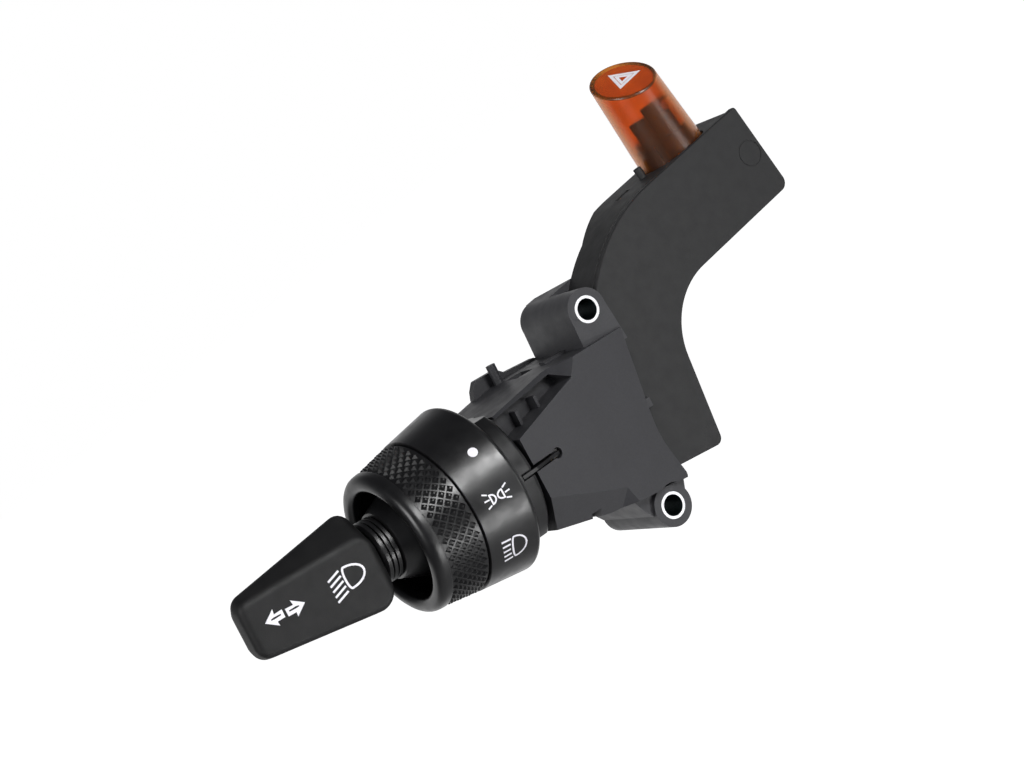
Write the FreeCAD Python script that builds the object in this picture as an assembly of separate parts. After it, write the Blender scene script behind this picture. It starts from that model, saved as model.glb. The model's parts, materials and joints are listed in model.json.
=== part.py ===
import FreeCAD, Part
import math
import os
from FreeCAD import Vector, Placement, Rotation

# Combination stalk switch for the left of a steering column, in millimetres.
# Row frame: +X to the right, +Y away from the driver, +Z up.
# The origin is the upper mounting sleeve's axis at its front face.

X = Vector(1, 0, 0)
Y = Vector(0, 1, 0)
Z = Vector(0, 0, 1)
ORIGIN = Vector(0, 0, 0)
HUGE = 400.0

# Mounting bosses and their compression sleeves
sleeve_bore_r = 2.7
sleeve_wall = 0.7
boss_length = 26.3
boss_r = 5.4
lower_boss_x = -11.86
lower_boss_z = -51.35
boss_web_x = 9.4
boss_web_end_x = 3.2

# Column saddle arm
column_x = 35.0
column_z = -31.0
saddle_r = 19.7
arm_outer_r = 44.7
arm_depth = 14.5
arm_wall = 1.6
strip_thick = 0.8
arm_cover_thick = 1.5
seam_width = 0.45
seam_depth = 0.35
arm_end_x = 69.9
arm_top_corner_r = 1.0
ramp_start_x = 17.0
ramp_end_x = 29.0
end_corner_r = 3.6
arm_bottom_corner_r = 2.5
leg_lean = 14.7
leg_end_z = -48.7
leg_corner_r = 2.0
leg_end_slope = 0.258
arm_rise = 1.5
mark_x = 64.6
mark_z = 2.6
mark_r = 3.5
window_angle = 92.5
window_y = 10.2
step_rim = 1.0
step_drop = 0.4

# Stalk frame: x outward along the stalk, y to the driver, z up
stalk_x = -40.0
stalk_y = 13.0
stalk_z = -19.15
stalk_rise = 8.35
stalk_toe = 3.1

# Main housing, in a frame of its own that leans a little more than the stalk
housing_z = -20.4
housing_rise = 10.0
housing_toe = 1.5
housing_wall = 1.8
housing_length = 40.0
collar_gap = 0.4
end_top_x = -44.4
end_waist_x = -37.0
end_waist_z = -8.5
end_foot_x = -40.2
end_foot_z = -22.3
end_waist_r = 30.0
end_foot_r = 2.2
top_left_z = 16.0
top_z = 19.2
top_slope_x = -18.0
bottom_left_z = -14.8
bottom_mid_x = -16.0
bottom_mid_z = -18.7
bottom_right_z = -21.5
front_left_y = 18.8
front_right_y = 15.0
housing_back_y = -12.5
parting_y = 8.0
rear_cover_thick = 2.4
housing_arm_gap = 0.3
boss_gap = 0.3

# Connector at the rear, in the housing's frame
plug_left_x = -32.0
plug_right_x = -8.0
plug_low_z = -8.0
plug_high_z = 6.0
plug_depth = 13.0
plug_floor = 1.6
plug_wall = 1.4
plug_key_x = -20.0
plug_key_half = 1.5
blade_count = 5
blade_pitch = 4.0
blade_reach = 8.2

# Fixed collar and guide tube
collar_r = 19.9
collar_flat = 15.8
collar_length = 8.5
collar_flange = 3.0
collar_rim = 1.9
collar_rebate = 0.6
rebate_r = 16.6
spigot_bore_r = 10.4
spigot_wall = 1.2
spigot_length = 2.3
spigot_fit = 0.05
bore_shoulder_x = 1.8
tube_bore_r = 12.5
tube_r = 14.0
circlip_thick = 0.9
circlip_r = 15.0
clip_past_split = 0.7
tube_past_clip = 1.1
clip_play = 0.3

# Light ring
ring_running = 0.06
ring_back_x = 5.9
ring_split_x = 19.8
ring_back_r = 22.85
ring_split_r = 20.5
ring_skirt_gap = 0.4
ring_web_gap = 0.4
grip_front_x = 29.9
grip_front_r = 18.6
lip_front_x = 33.7
lip_r = 14.5
lip_round = 2.0
lip_outer_round = 2.5
lip_depth = 3.3
cup_r = 16.3
seam_ring = 0.35
clip_x = ring_split_x + clip_past_split
tube_length = clip_x + circlip_thick + tube_past_clip
light_step = 35.0
index_angle = 0.0
key_half = 0.4
key_slot_half = 0.9
key_hole_r = 1.35
key_hole_x = -8.0
key_end_x = 4.2
lug_angle = -14.0
lug_half_angle = 4.5
lug_slot_play = 2.2
lug_inner_r = 14.4
lug_outer_r = 15.6
lug_end_x = -5.6

# Lever and gimbal
pivot_x = 7.5
lever_rise = 2.27
turn_angle = 6.0
beam_angle = 5.0
stem_r = 3.9
stem_flat = 3.6
tail_length = 20.0
plunger_nose = 3.2
cam_back = 27.0
board_y = -11.4
board_thick = 0.5
pin_fit = 0.05
carrier_half_x = 4.2
carrier_half_y = 9.6
carrier_half_z = 8.2
trunnion_r = 2.0
beam_pin_r = 1.5
arm_tail_x = 17.5
neck_r = 8.1
neck_start = 27.3
disc_pitch = 1.35
disc_count = 3
shroud_back_x = 19.3
shroud_back_r = 12.0
shroud_wall = 1.2
knob_start = 32.0
knob_end = 67.8
knob_big_front = 8.9
knob_tip_front = 4.5
knob_big_low = -13.0
knob_tip_low = -8.0
knob_crease = 6.8
knob_big_top = 12.9
knob_tip_top = 7.9

# Cancelling pawl
pawl_x = -31.3
pawl_y = -5.5
pawl_z = -2.0
pawl_half = 2.4
pawl_reach = 20.0
pawl_angle = 12.0

# Hazard button
hazard_x = 51.7
hazard_y = 10.3
cap_top_z = 36.95
cap_top_r = 8.3
cap_taper = 0.04
cap_slant = 28.4
cap_wall = 1.2
cap_bottom_z = 8.4
cap_travel = 4.0
well_r = 9.8
well_floor_z = 3.6
hazard_box_x = 37.5
hazard_box_y = 20.8
plunger_bore_r = 3.4
plunger_r = 4.6
plunger_foot_z = -1.7
lamp_post_r = 2.6


def wire_of(points, place):
    """Closed outline through (a, b, corner radius) points, mapped into space by place."""
    count = len(points)
    starts, ends, mids = [], [], []
    for i in range(count):
        ax, ay = points[i - 1][0], points[i - 1][1]
        bx, by, radius = points[i]
        cx, cy = points[(i + 1) % count][0], points[(i + 1) % count][1]
        corner = Vector(bx, by, 0)
        to_last = Vector(ax - bx, ay - by, 0).normalize()
        to_next = Vector(cx - bx, cy - by, 0).normalize()
        half = to_last.getAngle(to_next) / 2
        if radius <= 0:
            starts.append(corner)
            ends.append(corner)
            mids.append(None)
            continue
        back = radius / math.tan(half)
        middle = (to_last + to_next).normalize()
        starts.append(corner + to_last * back)
        ends.append(corner + to_next * back)
        mids.append(corner + middle * (radius / math.sin(half) - radius))
    edges = []
    for i in range(count):
        if mids[i] is not None:
            edges.append(Part.Arc(place(starts[i]), place(mids[i]), place(ends[i])).toShape())
        first, second = ends[i], starts[(i + 1) % count]
        if (second - first).Length > 1e-6:
            edges.append(Part.LineSegment(place(first), place(second)).toShape())
    return Part.Wire(edges)


def on_xz(y):
    """Maps an outline's (a, b) to (x, z) at depth y."""
    return lambda p: Vector(p.x, y, p.y)


def on_xy(z):
    """Maps an outline's (a, b) to (x, y) at height z."""
    return lambda p: Vector(p.x, p.y, z)


def on_yz(x):
    """Maps an outline's (a, b) to (y, z) at station x."""
    return lambda p: Vector(x, p.x, p.y)


def prism(points, place, direction):
    """Outline of points swept along direction."""
    return Part.Face(wire_of(points, place)).extrude(direction)


def turned(points, axis=X):
    """Solid of revolution of (station, radius, corner) points about axis."""
    place = (lambda p: Vector(p.x, 0, p.y)) if axis == X else (lambda p: Vector(p.y, 0, p.x))
    return Part.Face(wire_of(points, place)).revolve(ORIGIN, axis, 360)


def block(x0, y0, z0, x1, y1, z1):
    """Box between two corners."""
    return Part.makeBox(x1 - x0, y1 - y0, z1 - z0, Vector(x0, y0, z0))


def rod(base, axis, radius, length):
    """Cylinder from base along axis."""
    return Part.makeCylinder(radius, length, base, axis)


def trimmed(solid, point, normal):
    """Solid without what lies beyond the plane through point."""
    away = Vector(normal).normalize()
    cutter = Part.makeBox(HUGE, HUGE, HUGE, Vector(-HUGE / 2, -HUGE / 2, 0))
    cutter.Placement = Placement(point, Rotation(Z, away))
    return solid.cut(cutter)


def fused(shapes):
    """All shapes as one solid with its seams removed."""
    body = shapes[0]
    for shape in shapes[1:]:
        body = body.fuse(shape)
    return body.removeSplitter()


def placed(shape, placement):
    """Copy of shape moved from a local frame into the row frame."""
    moved = shape.copy()
    moved.Placement = placement.multiply(moved.Placement)
    return moved


stalk_turn = Rotation(Z, stalk_toe) * Rotation(Y, stalk_rise) * Rotation(Z, 180)
stalk_frame = Placement(Vector(stalk_x, stalk_y, stalk_z), stalk_turn)
lever_frame = stalk_frame.multiply(Placement(Vector(pivot_x, 0, 0), Rotation(Y, -lever_rise)))
housing_turn = Rotation(Z, housing_toe) * Rotation(Y, housing_rise) * Rotation(Z, 180)
housing_frame = Placement(Vector(stalk_x, stalk_y, housing_z), housing_turn)
stalk_in_housing = housing_frame.inverse().multiply(stalk_frame)


def in_stalk(shape):
    return placed(shape, stalk_frame)


def in_lever(shape):
    return placed(shape, lever_frame)


def in_housing(shape):
    return placed(shape, housing_frame)


def housing_planes():
    """Faces of the main housing as a point and an outward normal each."""
    front_fall = (front_left_y - front_right_y) / housing_length
    return [
        (Vector(0, 0, top_z), Z),
        (Vector(0, 0, top_left_z), Vector(top_z - top_left_z, 0, -top_slope_x)),
        (Vector(0, 0, bottom_left_z), Vector(bottom_left_z - bottom_mid_z, 0, bottom_mid_x)),
        (Vector(bottom_mid_x, 0, bottom_mid_z),
         Vector(bottom_mid_z - bottom_right_z, 0, -(housing_length + bottom_mid_x))),
        (Vector(0, front_left_y, 0), Vector(-front_fall, 1, 0)),
        (Vector(0, housing_back_y, 0), -Y),
    ]


def three_point_plane(a, b, c):
    """Plane through three points whose normal faces the driver."""
    normal = (b - a).cross(c - a).normalize()
    if normal.y < 0:
        normal = -normal
    return (a, normal)


def facet(plane_points, ramp_points, inset):
    """Wedge that a bevel takes off the housing's front, ended by a ramp towards the arm."""
    wedge = block(-60, -5, -60, 30, 60, 60)
    point, normal = three_point_plane(*plane_points)
    wedge = trimmed(wedge, point - normal * inset, -normal)
    point, normal = three_point_plane(*ramp_points)
    return trimmed(wedge, point - normal * inset, -normal)


def end_prism(offset):
    """Housing side of the waisted edge where the arm begins, moved towards the arm by offset."""
    points = [(end_top_x - offset, 40, 0), (end_waist_x - offset, end_waist_z, end_waist_r),
              (end_foot_x - offset, end_foot_z, end_foot_r), (end_foot_x + 8 - offset, end_foot_z - 0.6, 0),
              (20, -60, 0), (20, 40, 0)]
    return prism(points, on_xz(-40), Vector(0, 90, 0))


def housing_block(inset):
    """The main housing's closed form in its own frame, with every face moved in by inset."""
    solid = end_prism(-inset)
    for point, normal in housing_planes():
        away = Vector(normal).normalize()
        solid = trimmed(solid, point - away * inset, away)
    lower = [Vector(0, 18.8, -6.2), Vector(-22, 16.65, -15.2), Vector(0, 14.6, -13.6)]
    lower_ramp = [Vector(-21.8, 16.7, -15.2), Vector(-23.3, 16.5, -20.2), Vector(-17.8, 13.0, -18.7)]
    upper = [Vector(0, 18.7, 9.4), Vector(-21.7, 16.5, 15.3), Vector(0, 12.3, 15.7)]
    upper_ramp = [Vector(-21.5, 16.7, 15.3), Vector(-24.8, 16.4, 19.3), Vector(-19.5, 12.4, 18.7)]
    solid = solid.cut(facet(lower, lower_ramp, inset)).cut(facet(upper, upper_ramp, inset))
    collar_side = stalk_in_housing.multVec(Vector(-collar_gap - inset, 0, 0))
    return trimmed(solid, collar_side, stalk_in_housing.Rotation.multVec(X))


def pocket(grow):
    """Recess in the cover's upper bevel, beside the collar."""
    points = [(3.0, 8.2 - grow, 0), (-21.7 - grow, 15.3 - grow, 0),
              (-18.3 - grow * 0.8, 18.1 + grow * 0.2, 0), (3.0, 14.9, 0)]
    return prism(points, on_xz(9.6 - grow), Vector(0, 20, 0))


def ring_sector(r0, r1, x0, x1, half, centre=0.0):
    """Sector of a tube about X, half degrees each side of centre, measured up from the driver."""
    outer = Part.makeCylinder(r1, x1 - x0, Vector(x0, 0, 0), X, 2 * half)
    inner = Part.makeCylinder(r0, x1 - x0 + 2, Vector(x0 - 1, 0, 0), X)
    piece = outer.cut(inner)
    piece.rotate(ORIGIN, X, sector_start(half) + centre)
    return piece


def sector_start(half):
    """Turn that brings a cylinder sector, which starts on its own axis, to the driver's side."""
    probe = Part.makeCylinder(1, 1, ORIGIN, X, 90).CenterOfMass
    start = math.degrees(math.atan2(probe.z, probe.y)) - 45
    return -start - half


# Column saddle arm

def arm_outline(inset=0.0):
    """Face of the arm seen by the driver, at y 0, its edge moved in by inset."""
    def at(radius, degrees):
        a = math.radians(degrees)
        return Vector(column_x + radius * math.cos(a), 0, column_z + radius * math.sin(a))
    outer, inner = arm_outer_r - inset, saddle_r + inset
    rise = math.radians(arm_rise)
    outward = Vector(math.cos(rise), 0, math.sin(rise))
    run = arm_end_x - column_x - inset
    upper, lower = at(outer, 90 + arm_rise), at(inner, 90 + arm_rise)
    top_right, low_right = upper + outward * run, lower + outward * run
    lean = 180 - leg_lean
    leg_top = at(inner, lean)
    along = Vector(-math.sin(math.radians(leg_lean)), 0, -math.cos(math.radians(leg_lean)))
    foot = leg_top + along * ((leg_end_z + inset - leg_top.z) / along.z)
    foot_end = Vector(foot.x - 30, 0, foot.z + 30 * leg_end_slope)
    left = foot_end + Vector(0, 0, 10)
    far = at(outer, 90 + arm_rise + 75)
    edges = [Part.LineSegment(upper, top_right).toShape(),
             Part.LineSegment(top_right, low_right).toShape(),
             Part.LineSegment(low_right, lower).toShape(),
             Part.Arc(lower, at(inner, (90 + arm_rise + lean) / 2), leg_top).toShape(),
             Part.LineSegment(leg_top, foot).toShape(),
             Part.LineSegment(foot, foot_end).toShape(),
             Part.LineSegment(foot_end, left).toShape(),
             Part.LineSegment(left, far).toShape(),
             Part.Arc(far, at(outer, 90 + arm_rise + 40), upper).toShape()]
    solid = Part.Face(Part.Wire(edges)).extrude(Vector(0, 1, 0))
    for corner, radius in ((top_right, arm_top_corner_r), (foot, leg_corner_r),
                           (low_right, max(arm_bottom_corner_r - inset, 0.3))):
        chosen = [e for e in solid.Edges if upright_at(e, corner)]
        solid = solid.makeFillet(radius, chosen)
    faces = [f for f in solid.Faces if abs(f.CenterOfMass.y) < 1e-6]
    return faces[0]


def upright_at(edge, corner):
    """Whether an edge runs along Y through the corner."""
    ends = [v.Point for v in edge.Vertexes]
    if len(ends) != 2 or abs(abs(ends[0].y - ends[1].y) - 1) > 1e-6:
        return False
    return all(abs(p.x - corner.x) < 1e-4 and abs(p.z - corner.z) < 1e-4 for p in ends)


def arm_slab(y0, y1, inset=0.0):
    """The arm's outline between two depths."""
    face = arm_outline(inset)
    face.translate(Vector(0, y0, 0))
    return face.extrude(Vector(0, y1 - y0, 0))


def arm_limits(solid, gap=0.0):
    """Cuts the arm back from the main housing's end and from the upper boss and what lies left of it."""
    below_top = end_prism(housing_arm_gap + gap).common(block(-90, -60, -90, 60, 60, top_z + housing_arm_gap))
    solid = solid.cut(in_housing(below_top))
    beyond = prism([(-5.3 - gap, 0.8, 0), (-7.4 - gap, -9.5, 0), (-60, -9.5, 0), (-60, boss_r + gap, 0),
                    (0, boss_r + gap, 0)], on_xz(-1), Vector(0, 41, 0))
    return solid.cut(upper_boss_block(gap, 40.0)).cut(beyond)


def arm_plan(inset):
    """The arm seen from above: thin along the saddle, then a ramp to the deeper hazard end."""
    right, rear, thin = arm_end_x - inset, hazard_box_y - inset, arm_depth - inset
    return prism([(-60, -5, 0), (right, -5, 0), (right, rear, end_corner_r - inset), (ramp_end_x, rear, 0),
                  (ramp_start_x, thin, 0), (-60, thin, 0)], on_xy(-80), Vector(0, 0, 160))


def arm_room(x0, x1):
    """Hollow of the arm between two stations, a wall's thickness inside its form."""
    room = arm_slab(arm_cover_thick - 1, 40, arm_wall).common(arm_plan(arm_wall))
    return room.common(block(x0, -5, -60, x1, 40, 60))


def arm_shell():
    neck = arm_slab(arm_cover_thick, arm_cover_thick + seam_width, seam_depth)
    body = arm_slab(arm_cover_thick + seam_width, hazard_box_y + 1).common(arm_plan(0))
    solid = fused([neck, body])
    hollow = arm_room(-60, hazard_box_x)
    chamber = arm_room(hazard_box_x + arm_wall, 90)
    chamber = chamber.cut(block(0, -9, well_floor_z - arm_wall, 90, 40, 60))
    well = rod(Vector(hazard_x, hazard_y, well_floor_z), Z, well_r, 30)
    bore = rod(Vector(hazard_x, hazard_y, -9), Z, plunger_r + 0.35, 30)
    solid = solid.cut(end_step()).fuse(cap_post())
    solid = solid.cut(hollow).cut(chamber).cut(well).cut(bore)
    solid = solid.cut(passage())
    for centre in screw_posts():
        post = rod(Vector(centre.x, arm_cover_thick, centre.z), Y, 2.6, arm_depth - arm_cover_thick - 0.5)
        solid = solid.fuse(post)
    solid = arm_limits(solid.removeSplitter())
    return solid.cut(snap_window(window_angle))


def end_step():
    """Shallow step in the arm's top beside the cap, which leaves a rim along its right end."""
    front = arm_cover_thick + seam_width
    skin = arm_slab(front, hazard_box_y - step_rim).cut(arm_slab(front - 1, hazard_box_y + 1, step_drop))
    return skin.common(block(hazard_x, 0, 5, arm_end_x - step_rim, 40, 40))


def cap_post():
    """Small round post on the arm at the foot of the cap."""
    top = column_z + arm_outer_r
    return rod(Vector(hazard_x - well_r - 1.4, hazard_y, top - 1.0), Z, 1.1, 4.0)


def screw_posts():
    """Centres of the posts that carry the arm's cover."""
    leg = math.radians(196.0)
    bend = math.radians(132.0)
    middle = (saddle_r + arm_outer_r) / 2
    return [Vector(column_x + middle * math.cos(leg), 0, column_z + middle * math.sin(leg)),
            Vector(column_x + middle * math.cos(bend), 0, column_z + middle * math.sin(bend))]


def passage():
    """Way for the conductors from the hazard chamber into the arm."""
    low = column_z + saddle_r + arm_wall
    return block(hazard_box_x - 1, arm_cover_thick - 1, low, hazard_box_x + arm_wall + 1,
                 arm_depth - arm_wall, well_floor_z - arm_wall)


def snap_window(degrees):
    """Window in the arm's outer wall for a hook of its cover."""
    cutter = block(arm_outer_r - arm_wall - 1, window_y, -2.4, arm_outer_r + 2, window_y + 2.0, 2.4)
    cutter.Placement = Placement(Vector(column_x, 0, column_z), Rotation(Y, -degrees))
    return cutter


def snap_hook(degrees):
    """Hook of the arm's cover that stands in its window."""
    inside = arm_outer_r - arm_wall
    leg = block(inside - 1.2, arm_cover_thick - 0.5, -1.8, inside - 0.15, window_y + 1.5, 1.8)
    nose = prism([(inside - 0.6, window_y + 0.2, 0), (arm_outer_r - 0.3, window_y + 0.2, 0),
                  (inside - 0.6, window_y + 1.5, 0)], on_xy(-1.8), Vector(0, 0, 3.6))
    hook = leg.fuse(nose).removeSplitter()
    hook.Placement = Placement(Vector(column_x, 0, column_z), Rotation(Y, -degrees))
    return hook


def arm_cover():
    plate = arm_slab(0, arm_cover_thick)
    front = [e for e in plate.Edges if abs(e.CenterOfMass.y) < 1e-6]
    plate = plate.makeChamfer(0.3, front)
    solid = plate.cut(rod(Vector(hazard_x, hazard_y, well_floor_z), Z, well_r, 30))
    groove = rod(Vector(mark_x, -1, mark_z), Y, mark_r, 1.2).cut(
        rod(Vector(mark_x, -2, mark_z), Y, mark_r - 0.35, 4))
    solid = arm_limits(solid.cut(groove))
    return fused([solid, snap_hook(window_angle)])


# Bosses

def upper_boss_block(grow=0.0, depth=None):
    """Upper boss with the foot that joins it to the housing."""
    depth = depth or boss_length
    start = -1.0 if depth > boss_length else 0.0
    post = rod(Vector(0, start, 0), Y, boss_r + grow, depth - start)
    foot = prism([(-5.3 - grow, 0.8, 0), (-7.4 - grow, -9.5, 0), (4.6 + grow, -12.0, 0),
                  (5.0 + grow, -5.7, 0), (5.35 + grow, 0.6, 0)], on_xz(start), Vector(0, depth - start, 0))
    return post.fuse(foot).removeSplitter()


def lower_boss_block(grow=0.0):
    """Lower boss with its foot, wider towards the stalk."""
    cx, cz = lower_boss_x, lower_boss_z
    post = rod(Vector(cx, -grow, cz), Y, boss_r + grow, boss_length + 2 * grow)
    foot = prism([(cx - 5.3 - grow, cz + 0.6, 0), (cx - 6.6 - grow, cz + 3.0, 0), (cx - 8.6 - grow, cz + 10.5, 0),
                  (cx + 8.8 + grow, cz + 7.5, 0), (cx + 7.5 + grow, cz + 3.2, 0), (cx + 5.35 + grow, cz - 0.4, 0)],
                 on_xz(1.2 - grow), Vector(0, boss_length - 1.2 + 2 * grow, 0))
    return post.fuse(foot).removeSplitter()


def rear_rounded(solid, radius):
    """Rounds the rear rim of a boss."""
    rim = [e for e in solid.Edges
           if abs(e.CenterOfMass.y - boss_length) < 1e-6 and len(e.Vertexes) == 2]
    return solid.makeFillet(radius, rim)


def main_housing():
    outer = housing_block(0)
    inner = housing_block(housing_wall)
    deep = inner.copy()
    deep.translate(Vector(0, -housing_wall - 1, 0))
    shell = trimmed(outer.cut(inner).cut(deep), Vector(0, parting_y, 0), Y)
    pin = rod(Vector(-17.4, -9.9, top_z - 0.5), Z, 1.25, 5.4)
    ledge = block(-35.0, 2.0, top_z - 0.5, -23.5, 4.6, top_z + 0.7)
    shell = fused([shell, pin, ledge])
    shell = shell.cut(block(-22.5, -6.5, top_z - 1.1, -17.5, 0.2, top_z + 3))
    shell = in_housing(shell).cut(in_stalk(pawl_window()))
    inner, deep = in_housing(inner), in_housing(deep)
    bosses = [rear_rounded(upper_boss_block(), 1.6), lower_boss_block()]
    bosses[1] = bosses[1].cut(arm_slab(-1, arm_depth + 1, -housing_arm_gap))
    web_back = boss_length - 0.5
    bosses.append(prism([(0, arm_depth, 0), (boss_web_x, arm_depth, 0), (boss_web_end_x, web_back, 0),
                         (0, web_back, 0)], on_xy(-6.0), Vector(0, 0, boss_r + 5.95)))
    front = in_housing(trimmed(outer, Vector(0, parting_y, 0), -Y))
    solid = fused([shell] + [b.cut(inner).cut(deep).cut(front) for b in bosses])
    for x, z in boss_axes():
        solid = solid.cut(rod(Vector(x, -1, z), Y, sleeve_bore_r + sleeve_wall, boss_length + 2))
    return solid.cut(in_stalk(collar_seat()))


def boss_axes():
    return [(0, 0), (lower_boss_x, lower_boss_z)]


def collar_seat():
    """Bore for the collar's spigot, with the arc slot that the drive lug sweeps through."""
    bore = rod(Vector(-8, 0, 0), X, spigot_bore_r + spigot_wall + spigot_fit, 10)
    return bore.fuse(lug_slot(-8, 2))


def lug_slot(x0, x1):
    """Arc slot that the light ring's drive lug sweeps through."""
    return ring_sector(lug_inner_r - 0.3, lug_outer_r + 0.3, x0, x1,
                       light_step + lug_half_angle + lug_slot_play, lug_angle)


def key_slot(x0, x1, half_width, y0):
    """Straight slot along the index mark."""
    slot = block(x0, y0, -half_width, x1, 24, half_width)
    slot.rotate(ORIGIN, X, index_angle)
    return slot


def front_cover():
    outer = housing_block(0).cut(pocket(0))
    inner = housing_block(housing_wall).cut(pocket(1.5))
    cover = trimmed(outer.cut(inner), Vector(0, parting_y, 0), -Y)
    ribs = [block(-12.4, 9.6, 10.8, -11.6, 13.4, 15.4), block(-6.6, 9.6, 9.6, -5.8, 12.6, 14.4)]
    moved = in_housing(fused([cover] + ribs))
    moved = moved.cut(in_stalk(collar_seat()))
    slots = key_slot(key_hole_x, 2, key_slot_half, 15).fuse(key_hole(15))
    moved = moved.cut(in_stalk(slots)).cut(in_housing(cover_notch()))
    for x, z in boss_axes():
        moved = moved.cut(rod(Vector(x, -9, z), Y, boss_r + boss_gap, boss_length + 12))
    return moved.fuse(in_housing(latch_nib())).removeSplitter()


def key_hole(y0):
    """Round hole at the inner end of the index slot."""
    hole = rod(Vector(key_hole_x, y0, 0), Y, key_hole_r, 9)
    hole.rotate(ORIGIN, X, index_angle)
    return hole


def cover_notch():
    """Moulding notch in the lower edge of the front cover."""
    return block(-13.6, 9.4, -22, -11.0, 18, -16.2)


def latch_nib():
    """Small latch of the front cover that lies over the arm's edge."""
    return block(-39.6, 14.15, -1.6, -37.4, 15.0, 0.8)


def index_key():
    """Finger of the cover that reaches over the collar as the fixed index mark."""
    top, foot = collar_r + 0.1, key_hole_x - 0.6
    bar = prism([(key_end_x, top, 0), (-0.3, top, 0), (foot, top - 1.9, 0), (foot, 16.2, 0),
                 (-collar_gap - 0.2, 16.2, 0), (-collar_gap - 0.2, top - 1.4, 0), (key_end_x, top - 1.4, 0)],
                on_xy(-key_half), Vector(0, 0, 2 * key_half))
    head = block(key_hole_x - 1.0, 16.2, -0.9, key_hole_x + 1.0, 17.0, 0.9)
    key = fused([bar, head])
    key.rotate(ORIGIN, X, index_angle)
    return in_stalk(key)


def rear_cover():
    plate = trimmed(housing_block(0), Vector(0, housing_back_y + rear_cover_thick, 0), Y)
    crest = prism([(-31.5, 15, 0), (-31.5, 19.8, 0.8), (-21.5, 20.4, 0), (-19.5, 22.2, 0.8),
                   (-13.0, 22.2, 0.8), (-11.3, 20.2, 0), (-10.5, 18.2, 0.5), (-10.5, 12, 0)],
                  on_xz(housing_back_y), Vector(0, rear_cover_thick, 0))
    plate = plate.fuse(crest)
    plate.translate(Vector(0, -rear_cover_thick, 0))
    lip = trimmed(housing_block(housing_wall + 0.1), Vector(0, housing_back_y + 3.6, 0), Y)
    lip.translate(Vector(0, -housing_wall - 0.1, 0))
    room = trimmed(housing_block(housing_wall + 1.4), Vector(0, housing_back_y + 8, 0), Y)
    room.translate(Vector(0, -housing_wall - 1.4, 0))
    plate = plate.fuse(lip.cut(room)).removeSplitter()
    for x, z in cover_screw_places():
        plate = plate.cut(rod(Vector(x, -40, z), Y, 1.3, 60))
    plate = in_housing(plate)
    return plate.cut(upper_boss_block(boss_gap, boss_length + boss_gap)).cut(lower_boss_block(boss_gap))


def cover_screw_places():
    """Screws of the rear cover, near its corners."""
    return [(-7.0, 10.5), (-7.0, -10.5), (-34.5, 14.5), (-34.5, -15.0)]


def screw(head_r, head_thick, shank_r, shank):
    """Pan-head screw along -Y with its seat at the origin, and a cross recess."""
    head = turned([(0, 0, 0), (0, head_r, 0), (head_thick, head_r, head_thick * 0.6), (head_thick, 0, 0)])
    body = head.fuse(rod(Vector(-shank, 0, 0), X, shank_r, shank))
    slot = block(head_thick * 0.45, -head_r * 0.55, -0.3, head_thick + 1, head_r * 0.55, 0.3)
    cross = slot.copy()
    cross.rotate(ORIGIN, X, 90)
    body = body.cut(slot).cut(cross)
    body.Placement = Placement(ORIGIN, Rotation(X, -Y))
    return body


def cover_screws():
    screws = []
    for x, z in cover_screw_places():
        one = screw(2.4, 1.6, 1.25, 5.0)
        one.translate(Vector(x, housing_back_y - rear_cover_thick, z))
        screws.append(in_housing(one))
    return Part.makeCompound(screws)


def connector_shroud():
    y0 = housing_back_y - rear_cover_thick
    outer = plug_outline(0, 1.0, y0 - plug_depth, plug_depth)
    inner = plug_outline(plug_wall, 0.6, y0 - plug_depth - 1, plug_depth + 1 - plug_floor)
    key = block(plug_key_x - plug_key_half, y0 - plug_depth + 0.5, plug_high_z - plug_wall,
                plug_key_x + plug_key_half, y0, plug_high_z + 1.2)
    return in_housing(outer.fuse(key).cut(inner).removeSplitter())


def plug_outline(inset, corner, y0, length):
    """Rounded block of the connector, its sides moved in by inset."""
    left, right = plug_left_x + inset, plug_right_x - inset
    low, high = plug_low_z + inset, plug_high_z - inset
    return prism([(left, low, corner), (right, low, corner), (right, high, corner), (left, high, corner)],
                 on_xz(y0), Vector(0, length, 0))


def terminals():
    """Two rows of blades that stand in the connector."""
    y0 = housing_back_y - rear_cover_thick
    middle = (plug_left_x + plug_right_x) / 2
    blades = []
    for row in (-3.4, 1.6):
        for i in range(blade_count):
            x = middle + blade_pitch * (i - (blade_count - 1) / 2)
            blade = block(x - 1.4, y0 - blade_reach, row - 0.4, x + 1.4, y0 - plug_floor, row + 0.4)
            ends = [e for e in blade.Edges if abs(e.CenterOfMass.y - (y0 - blade_reach)) < 1e-6]
            blades.append(in_housing(blade.makeChamfer(0.25, ends)))
    return Part.makeCompound(blades)


def sleeves():
    """Steel compression sleeves pressed in the two bosses."""
    group = []
    for x, z in boss_axes():
        tube = rod(Vector(x, 0, z), Y, sleeve_bore_r + sleeve_wall, boss_length)
        group.append(tube.cut(rod(Vector(x, -1, z), Y, sleeve_bore_r, boss_length + 2)))
    return Part.makeCompound(group)


# Collar, gimbal and lever

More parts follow.
